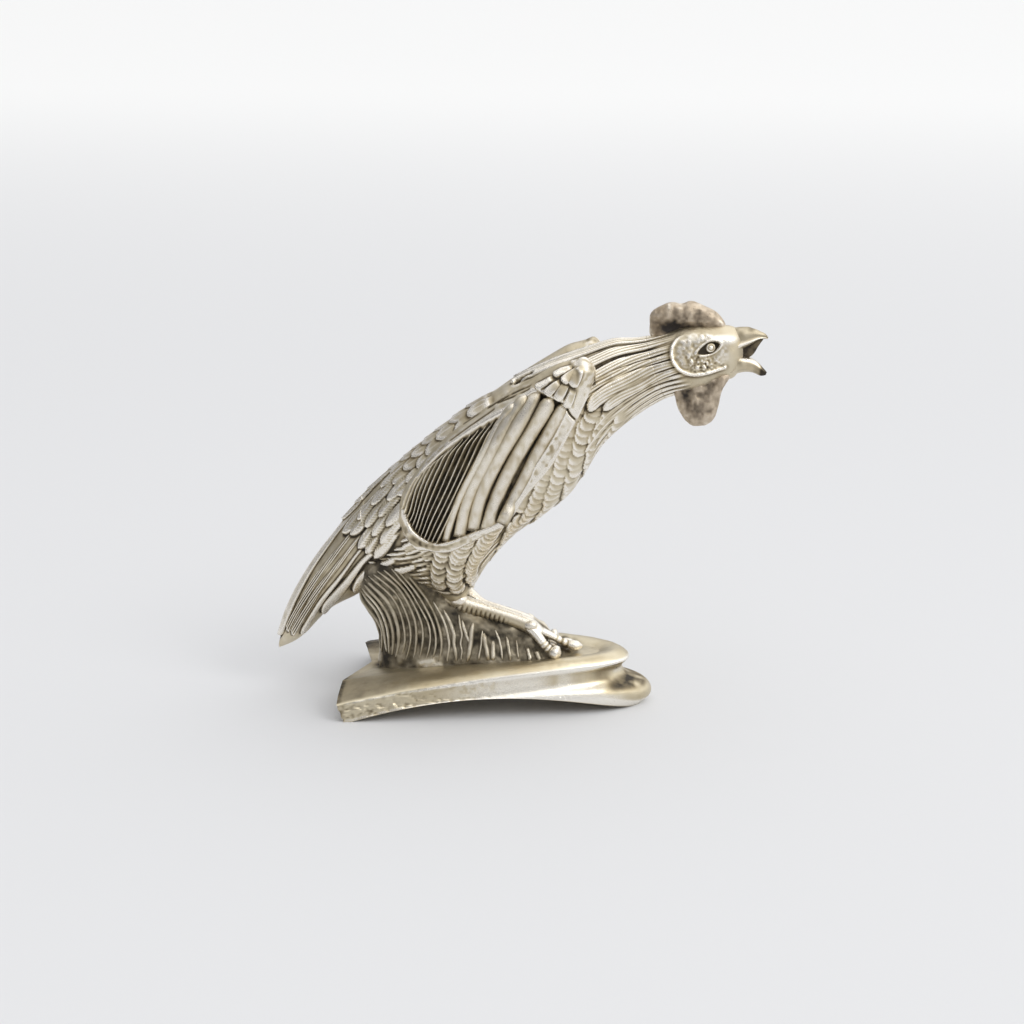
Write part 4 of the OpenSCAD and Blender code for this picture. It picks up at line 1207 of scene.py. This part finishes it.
def layBlade(shell, skin, places, kind, side, plan):
    points = skin["points"]
    path = smoothPath(places, 26)
    spots = []
    for a, b in path:
        if kind == "side":
            gap = (points[:, :, 0] - a) ** 2 + (points[:, :, 2] - b) ** 2 + 1e4 * (points[:, :, 1] * side < 0)
        else:
            gap = (points[:, :, 1] - a) ** 2 + (points[:, :, 2] - b) ** 2 + 1e4 * (points[:, :, 0] > -20)
        spots.append(np.unravel_index(np.argmin(gap), gap.shape))
    line = softenedLine(np.array([points[s] for s in spots]), 5)
    normal = unit(np.array([skin["normals"][s] for s in spots]))
    normal = unit(softenedLine(normal, 5))
    share = np.linspace(0, 1, len(line))
    taper = smoothStep(share, -0.03, 0.22) * smoothStep(1 - share, -0.03, 0.2)
    wobble = 1 + 0.16 * valueNoise(line, 2.0, 61)
    width = plan["width"] * dice.uniform(0.6, 1.35) * (0.35 + 0.65 * taper) * wobble
    height = plan["height"] * dice.uniform(0.7, 1.1) * (0.1 + 0.9 * taper) * wobble
    sweepRidge(shell, line, normal, width, height, 0.7, dice.uniform(0.35, 1.0), 9, 0.9)


def makeMound(plan):
    skin = makeMoundSkin(plan)
    points = skin["points"]
    rough = valueNoise(points, 2.6, 71) * 0.32 + valueNoise(points, 1.1, 72) * 0.2
    rough = rough + valueNoise(points, 0.6, 73) * 0.1
    carved = points + skin["normals"] * rough[..., None]
    shell = Shell()
    dirtAndShading = np.clip(0.52 - rough * 1.1 + 0.25 * valueNoise(points, 4.0, 74), 0.02, 1)
    dirtAndShading -= 0.5 * smoothStep(15.6 - points[:, :, 2], 0, 2.2) * patches(points, 3.0, 75, -0.4, 0.5)
    dirtAndShading -= 0.9 * smoothStep(points[:, :, 0], 0, 5) * smoothStep(points[:, :, 1], 1.5, 4)
    shell.addTube(carved, dirtAndShading)
    longBlades = [smoothPath(places, 12) for places in plan["longBlades"]]
    longBlades += [a * 0.52 + b * 0.48 for a, b in zip(longBlades[:-1], longBlades[1:])]
    for side in (-1, 1):
        for places in longBlades + plan["sideBlades"]:
            layBlade(shell, skin, places, "side", side, plan)
    for places in plan["rearBlades"]:
        layBlade(shell, skin, places, "rear", 1, plan)
    return shell


makePiece("grass_clump", makeMound(moundPlan), moundFinish, ["grass_mound"])
print("base and mound ready")


legPlan = {
    "spacing": 13.0, "farStep": (-2.2, -2.6, -2.2),  # the far leg stands a little back
    # [x, z, half height, half width] down the shank
    "shank": [[-19, 30.8, 1.6, 1.6], [-16, 29.6, 2.2, 2.2], [-13.4, 28.5, 2.5, 2.35], [-9, 27.3, 2.25, 2.0],
              [-3.5, 25.8, 2.1, 1.9], [1.5, 24.3, 2.1, 1.95], [5.2, 22.7, 2.2, 2.3], [7.8, 20.8, 1.6, 2.0]],
    "scutes": {"from": -16.5, "to": -1.0, "pitch": 1.3, "rise": 0.34},
    "knob": {"place": (5.2, -1.2, 23.4), "size": 1.75},
    "hock": {"place": (-15.2, -1.1, 30.1), "size": 2.2},
    # each toe: points [x, y out from the leg's middle, z] and its thickness
    "toes": [
        {"radius": 1.45, "ball": 2.1, "path": [[4.8, -0.9, 22.8], [7.4, -1.7, 20.4], [9.8, -2.2, 17.6],
                                               [12.2, -2.6, 16.2], [14.0, -2.8, 15.7]]},
        {"radius": 1.25, "ball": 1.5, "path": [[5.0, 0.3, 22.6], [9.2, 1.6, 20.4], [13.2, 2.9, 18.0],
                                               [16.8, 3.9, 16.4], [19.4, 4.5, 16.0]]},
        {"radius": 1.15, "ball": 1.3, "path": [[4.6, 1.0, 22.4], [7.2, 2.6, 19.6], [9.6, 3.9, 17.0],
                                               [12.2, 4.9, 15.9]]},
    ],
}


def sweepTube(shell, path, tall, wide, dirtAndShading, section, grow=1.0):
    ahead = unit(np.gradient(path, axis=0))
    across = unit(np.cross(ahead, [0, 0, 1.0]))
    upward = np.cross(across, ahead)
    turn = np.linspace(0, 2 * np.pi, section, endpoint=False)
    ring = (path[:, None] + upward[:, None] * (np.cos(turn) * tall[:, None] * grow)[..., None]
            + across[:, None] * (np.sin(turn) * wide[:, None] * grow)[..., None])
    shell.addTube(ring, dirtAndShading)


def roundLump(shell, place, size, seed, dirtAndShading, squash):
    rise = np.linspace(0.04, np.pi - 0.04, 20)
    turn = np.linspace(0, 2 * np.pi, 28, endpoint=False)
    ball = np.stack([np.sin(rise)[:, None] * np.cos(turn), np.sin(rise)[:, None] * np.sin(turn),
                     np.broadcast_to(np.cos(rise)[:, None], (20, 28))], axis=-1)
    ball = ball * (1 + 0.05 * valueNoise(ball * 3 + 9, 1.1, seed))[..., None]
    shell.addTube(ball * np.array(squash) * size + place, dirtAndShading)


def makeLeg(side, plan):
    shell = Shell()
    y = side * plan["spacing"] / 2
    rows = smoothPath(np.array(plan["shank"]), 130)
    step = np.array(plan["farStep"]) * (side > 0)
    path = np.stack([rows[:, 0], np.full(len(rows), y), rows[:, 1]], axis=-1)
    scutes = plan["scutes"]

    # overlapping scales along the lower outer side
    turn = np.linspace(0, 2 * np.pi, 40, endpoint=False)
    x = path[:, 0]
    tooth = np.mod((x - scutes["from"]) / scutes["pitch"], 1.0)
    groove = bell(np.minimum(tooth, 1 - tooth), 0.2) * smoothStep(x, -17, -15) * smoothStep(-x, 0, 3)
    path = path + smoothStep(np.arange(len(path)), 0, 60)[:, None] * step
    x = path[:, 0]
    tooth = np.mod((x - scutes["from"]) / scutes["pitch"], 1.0)
    edge = smoothStep(tooth, 0.0, 0.7) * smoothStep(1 - tooth, 0.0, 0.16)
    inRange = smoothStep(x, scutes["from"], scutes["from"] + 1) * smoothStep(scutes["to"] - x, 0, 2)
    lower = smoothStep(-np.cos(turn), -0.45, 0.2)[None, :]
    grow = 1 + lower * (inRange * scutes["rise"] * (edge - 0.45) / 2.2)[:, None]
    # the grooves between the scales darken, the underside of the shank gets painted shade and its top a
    # painted highlight
    shade = groove[:, None] * smoothStep(-np.cos(turn), -0.4, 0.2)[None, :] * 0.85
    shade = shade + 0.5 * smoothStep(-np.cos(turn), 0.6, 1.0)[None, :]
    shade = shade - 0.35 * smoothStep(np.cos(turn), 0.0, 0.8)[None, :]
    sweepTube(shell, path, rows[:, 2], rows[:, 3], np.clip(shade, -1, 1), 40, grow)
    for number, key in enumerate(("knob", "hock")):
        x, out, z = plan[key]["place"]
        place = np.array([x, y - side * out, z]) + step * (1 - number)
        roundLump(shell, place, plan[key]["size"], 81 + number, -0.3, (1.15, 0.9, 0.9))
    for toe in plan["toes"]:
        places = np.array(toe["path"], float)
        places[:, 1] = y - side * places[:, 1]
        places += step * np.array([1, 1, 0])
        places[:, 2] += step[2] * np.linspace(1, 0, len(places)) ** 1.5
        path = smoothPath(places, 60)
        share = np.linspace(0, 1, 60)
        rings = smoothStep(share, 0.46, 0.54) * smoothStep(0.8 - share, 0, 0.08)
        beads = 0.1 * rings * np.cos(share * 2 * np.pi * 9)
        swell = toe["ball"] / toe["radius"] * np.sqrt(np.clip(1 - ((share - 0.86) / 0.16) ** 2, 0, 1))
        size = toe["radius"] * np.maximum(1 - 0.28 * share + beads, swell)
        size = size * np.sqrt(np.clip((1.02 - share) / 0.1, 0.02, 1))
        shade = 0.75 * rings * smoothStep(-np.cos(share * 2 * np.pi * 9), 0.1, 0.9) - 0.35
        sweepTube(shell, path, size, size * 1.08, shade[:, None], 24)
    return shell


for side, hand in sides:
    makePiece("bird_leg_" + hand, makeLeg(side, legPlan), birdFinish, ["leg_" + hand])
print("legs ready")


# The comb and the wattles are cushions: an outline of [x, z], its middle, and how thick it is.

combPlan = {
    "outline": [[37.1, 105.4], [36.8, 108.4], [37.0, 111.4], [39.4, 113.4], [43.4, 114.6], [45.4, 114.3],
                [47.4, 115.0], [49.8, 114.6], [51.8, 113.7], [54.4, 112.5], [56.4, 110.6], [57.5, 108.4],
                [56.8, 106.0], [50, 105.2], [44, 104.6], [39.6, 104.2]],
    "middle": (47.0, 109.6), "thick": 2.75, "offset": 0.0,
    "folds": asPlans(("centre", "size", "rise"), [
        [(44.6, 107.7), (7.2, 1.6), -1.45], [(40.5, 111.6), (2.6, 1.2), 0.35],
        [(46.8, 112.2), (3.0, 1.5), 0.4], [(52.6, 110.9), (2.2, 1.4), 0.35],
        [(43.8, 110.4), (0.8, 2.6), -0.3], [(50.0, 111.6), (0.7, 2.2), -0.3]]),
    "rough": 0.17,
}
wattlePlan = {
    "outline": [[43.9, 91.4], [44.3, 88.6], [45.2, 85.7], [47.0, 82.6], [49.6, 81.0], [52.0, 81.1],
                [54.4, 82.4], [55.6, 84.6], [56.4, 88.4], [57.5, 92.0], [58.9, 95.4], [55, 96.2],
                [50, 95.6], [46, 94.6]],
    "middle": (50.6, 88.6), "thick": 1.85, "offset": 2.5,
    "folds": asPlans(("centre", "size", "rise"), [
        [(47.4, 90.5), (1.5, 3.2), -0.7], [(51.5, 86.2), (2.6, 3.0), 0.35],
        [(53.2, 91.4), (1.5, 2.6), -0.35]]),
    "rough": 0.3,
}


def makeCushion(plan, side=1):
    outline = np.array(plan["outline"], float)
    around = pathLength(np.vstack([outline, outline[:1]]))[-1]
    wrap = np.vstack([outline[-3:], outline, outline[:4]])
    knots = pathLength(wrap)
    edge = splineThrough(knots, wrap, knots[3] + np.linspace(0, around, 180, endpoint=False))
    share = np.sin(np.linspace(0, np.pi / 2, 44)) ** 0.9
    share[0] = 0.01
    middle = np.array(plan["middle"])
    flat = middle + (edge[None] - middle) * share[:, None, None]
    stand = plan["thick"] * np.sqrt(np.clip(1 - share ** 3.4, 0, 1))
    stand = np.broadcast_to(stand[:, None], flat.shape[:2])
    near, far = [np.stack([flat[:, :, 0], face * stand, flat[:, :, 1]], axis=-1) for face in (-1, 1)]
    points = np.concatenate([near, far[::-1][1:]])
    x, z = points[:, :, 0], points[:, :, 2]
    inner = np.clip(np.abs(points[:, :, 1]) / plan["thick"], 0, 1)
    relief = sum(fold["rise"] * lump(x, z, fold) for fold in plan["folds"]) * smoothStep(inner, 0.1, 0.7)
    rough = valueNoise(points, 1.5, 91) + 0.6 * valueNoise(points, 0.7, 92)
    relief = relief + plan["rough"] * rough * (0.35 + 0.65 * inner)
    moved = points.copy()
    moved[:, :, 1] += np.sign(points[:, :, 1]) * relief
    towards = unit(points - [middle[0], 0, middle[1]])
    moved += towards * (0.35 * plan["rough"] * rough * (1 - inner))[..., None]
    moved[:, :, 1] += side * plan["offset"]
    deep = sum(max(0, -fold["rise"]) * lump(x, z, fold) for fold in plan["folds"]) * inner
    dirtAndShading = np.clip(0.18 - rough * 0.35 + deep * 0.95 - 0.35 * (1 - inner), -0.6, 1)
    shell = Shell()
    shell.addTube(moved, dirtAndShading)
    return shell


makePiece("bird_comb", makeCushion(combPlan), combFinish, ["comb"])
for side, hand in sides:
    wattle = makeCushion(wattlePlan, side)
    makePiece("bird_wattle_" + hand, wattle, combFinish, ["wattle_" + hand])


beakPlan = {
    # [top x, top z, bottom x, bottom z, half width]
    "upper": [[56.0, 106.4, 57.4, 101.0, 2.4], [58.4, 107.7, 59.4, 100.8, 3.6],
              [60.6, 108.1, 61.2, 101.6, 3.5], [62.8, 108.3, 62.8, 102.5, 3.0],
              [65.0, 107.9, 64.8, 103.7, 2.3], [67.2, 107.0, 66.9, 104.9, 1.35],
              [68.6, 106.1, 68.4, 105.1, 0.6], [69.0, 105.5, 68.9, 105.1, 0.25]],
    "tongue": [[58.0, 103.0, 58.4, 98.4, 2.0], [61.4, 103.2, 61.0, 98.9, 1.7],
               [63.6, 103.7, 63.4, 99.7, 1.35], [65.6, 104.7, 65.2, 100.9, 1.0],
               [67.2, 105.3, 66.6, 103.3, 0.6], [67.8, 105.4, 67.5, 104.6, 0.3]],
    "lower": [[57.0, 99.4, 56.0, 94.6, 2.6], [59.4, 100.4, 58.8, 94.7, 3.2], [61.6, 100.6, 61.4, 95.6, 2.8],
              [64.0, 100.0, 63.4, 95.9, 2.1], [66.2, 98.7, 65.6, 95.6, 1.45], [68.0, 96.9, 67.6, 94.9, 0.95],
              [68.9, 95.9, 68.6, 95.1, 0.4]],
}


def loftStations(shell, stations, rowCount, ridge, seed, stainAndShading, fold=0.0):
    rows = np.array(stations, float)
    knots = pathLength((rows[:, 0:2] + rows[:, 2:4]) / 2)
    rows = splineThrough(knots, rows, np.linspace(0, knots[-1], rowCount))
    turn = np.linspace(0, 2 * np.pi, 48, endpoint=False)
    high = np.cos(turn)
    wide = np.sign(np.sin(turn)) * np.abs(np.sin(turn)) ** 0.9
    wide = wide * (1 - ridge * 0.42 * (high + 1) / 2)
    wide = wide * (1 + fold * (bell(high + 0.5, 0.16) - 0.8 * bell(high + 0.05, 0.3)))
    points = ringPoints(rows, high, wide)
    outward = unit(points - points.mean(axis=1, keepdims=True))
    points += outward * (0.05 * valueNoise(points, 1.2, seed))[..., None]
    stainAndShadingGrid = stainAndShading(rows[:, 0:1], high[None, :]) + 0.25 * valueNoise(points, 1.5, seed + 5)
    shell.addTube(points, np.clip(stainAndShadingGrid * np.ones(points.shape[:2]), -1, 1))


# the upper beak is lighter along its ridge and carries painted shade on the facet under it; the tongue in the
# gape is painted dark as painted shade; the lower beak is lighter along its top and darker at its tip
loftStations(headShell, beakPlan["upper"], 60, 1.0, 95,
             lambda x, high: 0.2 - 0.9 * bell(high + 0.5, 0.16) + 0.5 * bell(high + 0.9, 0.25), 0.22)
loftStations(headShell, beakPlan["tongue"], 40, 0.0, 96, lambda x, high: 0.75)
beakShell = Shell()
loftStations(beakShell, beakPlan["lower"], 56, -0.6, 97,
             lambda x, high: 0.1 - 0.6 * bell(high - 0.75, 0.2) + 0.95 * smoothStep(x, 66.9, 67.9), 0.12)
makePiece("bird_lower_beak", beakShell, birdFinish, ["lower_beak"])
print("comb, wattles and beak ready")
makePiece("bird_body", birdPart(bird["tailEnd"], bird["neckEnd"] + 1), birdFinish, ["body"])
makePiece("bird_tail", birdPart(0, bird["tailEnd"] + 1), birdFinish, ["tail"])
makePiece("bird_head", headShell, birdFinish, ["head"])


# Pins, dowels, bolts and bushes are bar stock, seen only from below or with a piece off.

brassStock = {"bright": (0.80, 0.60, 0.30), "dull": (0.42, 0.27, 0.10), "rough": 0.34, "turning": 0.25}
steelStock = {"bright": (0.62, 0.62, 0.61), "dull": (0.26, 0.25, 0.24), "rough": 0.38, "turning": 0.2}


def makeStock(name, plan):
    material, tree, shader, place = newMaterial(name)
    tarnish = addNode(tree, "TexNoise", {"Scale": textureScale["tarnish"], "Detail": 5.0, "Vector": place},
                      "Fac")
    share = shareRamp(tree, tarnish, 0.42, 0.66)
    fill(tree, shader["Base Color"], blendColours(tree, share, plan["bright"], plan["dull"]))
    fill(tree, shader["Metallic"], 1.0)
    spread = {"To Min": plan["rough"] - 0.08, "To Max": plan["rough"] + 0.18, "Value": share}
    fill(tree, shader["Roughness"], addNode(tree, "MapRange", spread))
    rings = addNode(tree, "TexNoise", {"Scale": textureScale["grains"], "Vector": place}, "Fac")
    bump = addNode(tree, "Bump", {"Strength": plan["turning"], "Distance": bumpDepth["turning"],
                                  "Height": rings})
    fill(tree, shader["Normal"], bump)
    return material


brassFinish = makeStock("turned_brass", brassStock)
steelFinish = makeStock("bolt_steel", steelStock)
fixings = {
    brassFinish: ("neck_dowel", "tail_dowel", "hock_dowels", "comb_pins", "wattle_pins", "jaw_pin",
                  "mount_bushes"),
    steelFinish: ("body_bolts", "mound_screw", "washers"),
}
for finish, names in fixings.items():
    for name in names:
        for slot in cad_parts[name].material_slots:
            slot.material = finish

pinPlan = {
    # these stop just under the skin
    "wings": {"ends": [[7.0, 76.0], [-14.0, 64.0]], "from": 12.8, "to": 16.4, "radius": 1.25},
    "feet": {"x": 13.0, "y": 8.7, "from": 10.8, "to": 13.6, "radius": 0.75},
    "bevel": 0.2,
}


def layPin(shell, start, end, radius):
    start, end = np.array(start, float), np.array(end, float)
    ahead = unit(end - start)
    across = unit(np.cross(ahead, [1.0, 0.3, 0.2]))
    upward = np.cross(ahead, across)
    turn = np.linspace(0, 2 * np.pi, 32, endpoint=False)
    ring = across * np.cos(turn)[:, None] + upward * np.sin(turn)[:, None]
    length = np.linalg.norm(end - start)
    bevel = pinPlan["bevel"]
    levels = [(0, radius - bevel), (bevel, radius), (length - bevel, radius), (length, radius - bevel)]
    shell.addTube(np.array([start + ahead * along + ring * size for along, size in levels]))


wingPins = Shell()
footPins = Shell()
for side in (-1, 1):
    for x, z in pinPlan["wings"]["ends"]:
        layPin(wingPins, (x, side * pinPlan["wings"]["from"], z), (x, side * pinPlan["wings"]["to"], z),
               pinPlan["wings"]["radius"])
    x, y = pinPlan["feet"]["x"], side * pinPlan["feet"]["y"]
    feet = pinPlan["feet"]
    layPin(footPins, (x, y, feet["from"]), (x, y, feet["to"]), feet["radius"])
makePiece("brass_wing_pins", wingPins, brassFinish, ["wing_pins"], crease=40)
makePiece("brass_foot_pins", footPins, brassFinish, ["foot_pins"], crease=40)
print("fixings ready")


studioPlan = {
    "floorSize": 40.0, "floorTurn": (0.3, 2.6),
    "floorNear": (0.69, 0.695, 0.708), "floorFar": (0.885, 0.888, 0.885),
    "skyBright": (1.42, 1.42, 1.42), "skyDark": (0.24, 0.24, 0.25), "skyLean": (0.42, 0.10, 0.85),
    "skyTurn": (-0.05, 0.85), "hazeTop": 0.2, "hazeShare": 0.48,
    "cameraLens": 75.0, "cameraDistance": 600.0, "cameraAzimuth": 7.0, "cameraElevation": 15.0,
    "cameraTarget": (-1.0, 0.0, 54.2),
    "window": {"place": (1.6, -0.9, 1.5), "aim": (0, 0, 0.05), "size": (0.9, 0.9), "power": 9.0,
               "colour": (1.0, 0.99, 0.97)},
}


def makeStudio(plan):
    mesh = bpy.data.meshes.new("studio_floor")
    half = plan["floorSize"] / 2
    corners = [(-half, -half, 0), (half, -half, 0), (half, half, 0), (-half, half, 0)]
    mesh.from_pydata(corners, [], [(0, 1, 2, 3)])
    floor = bpy.data.objects.new("studio_floor", mesh)
    bpy.context.collection.objects.link(floor)
    material, tree, shader, place = newMaterial("studio_paper")
    # painted shade: the paper's colour darkens towards the camera
    share = shareRamp(tree, addNode(tree, "SeparateXYZ", {"Vector": place}, "Y"), *plan["floorTurn"])
    fill(tree, shader["Base Color"], blendColours(tree, share, plan["floorNear"], plan["floorFar"]))
    fill(tree, shader["Roughness"], 0.75)
    fill(tree, shader["Specular IOR Level"], 0.2)
    mesh.materials.append(material)

    # a pale sky, brightest overhead and to the right, with darker walls round the horizon
    world = bpy.data.worlds.new("studio_sky")
    bpy.context.scene.world = world
    world.use_nodes = True
    tree = world.node_tree
    place = addNode(tree, "TexCoord", {}, "Generated")
    lean = addNode(tree, "VectorMath", {0: place, 1: plan["skyLean"]}, "Value", operation="DOT_PRODUCT")
    height = addNode(tree, "SeparateXYZ", {"Vector": place}, "Z")
    haze = addNode(tree, "MapRange", {"From Min": plan["hazeTop"], "From Max": 0.0,
                                      "To Max": plan["hazeShare"], "Value": height})
    share = shareRamp(tree, lean, *plan["skyTurn"])
    share = addNode(tree, "Math", {0: share, 1: haze}, operation="MAXIMUM")
    background = tree.nodes["Background"].inputs
    fill(tree, background["Color"], blendColours(tree, share, plan["skyDark"], plan["skyBright"]))
    fill(tree, background["Strength"], 1.0)


def addLight(name, plan):
    lamp = bpy.data.lights.new(name, "AREA")
    lamp.shape = "RECTANGLE"
    lamp.size, lamp.size_y = plan["size"]
    lamp.energy = plan["power"]
    lamp.color = plan["colour"]
    holder = bpy.data.objects.new(name, lamp)
    bpy.context.collection.objects.link(holder)
    holder.location = plan["place"]
    direction = Vector(plan["aim"]) - Vector(plan["place"])
    holder.rotation_euler = direction.to_track_quat("-Z", "Y").to_euler()


def placeCamera(plan):
    azimuth = math.radians(plan["cameraAzimuth"])
    elevation = math.radians(plan["cameraElevation"])
    flat = math.cos(elevation)
    back = Vector((math.sin(azimuth) * flat, -math.cos(azimuth) * flat, math.sin(elevation)))
    target = Vector([plan["cameraTarget"][i] * stretch[i] for i in range(3)])
    cameraData = bpy.data.cameras.new("studio_camera")
    cameraData.lens = plan["cameraLens"]
    cameraData.sensor_width = 36.0
    camera = bpy.data.objects.new("studio_camera", cameraData)
    bpy.context.collection.objects.link(camera)
    camera.location = target + back * plan["cameraDistance"] * float(stretch.mean())
    camera.rotation_euler = (-back).to_track_quat("-Z", "Y").to_euler()
    bpy.context.scene.camera = camera


makeStudio(studioPlan)
addLight("window_right", studioPlan["window"])
placeCamera(studioPlan)
bpy.context.scene.view_settings.view_transform = "Standard"
print("studio ready")
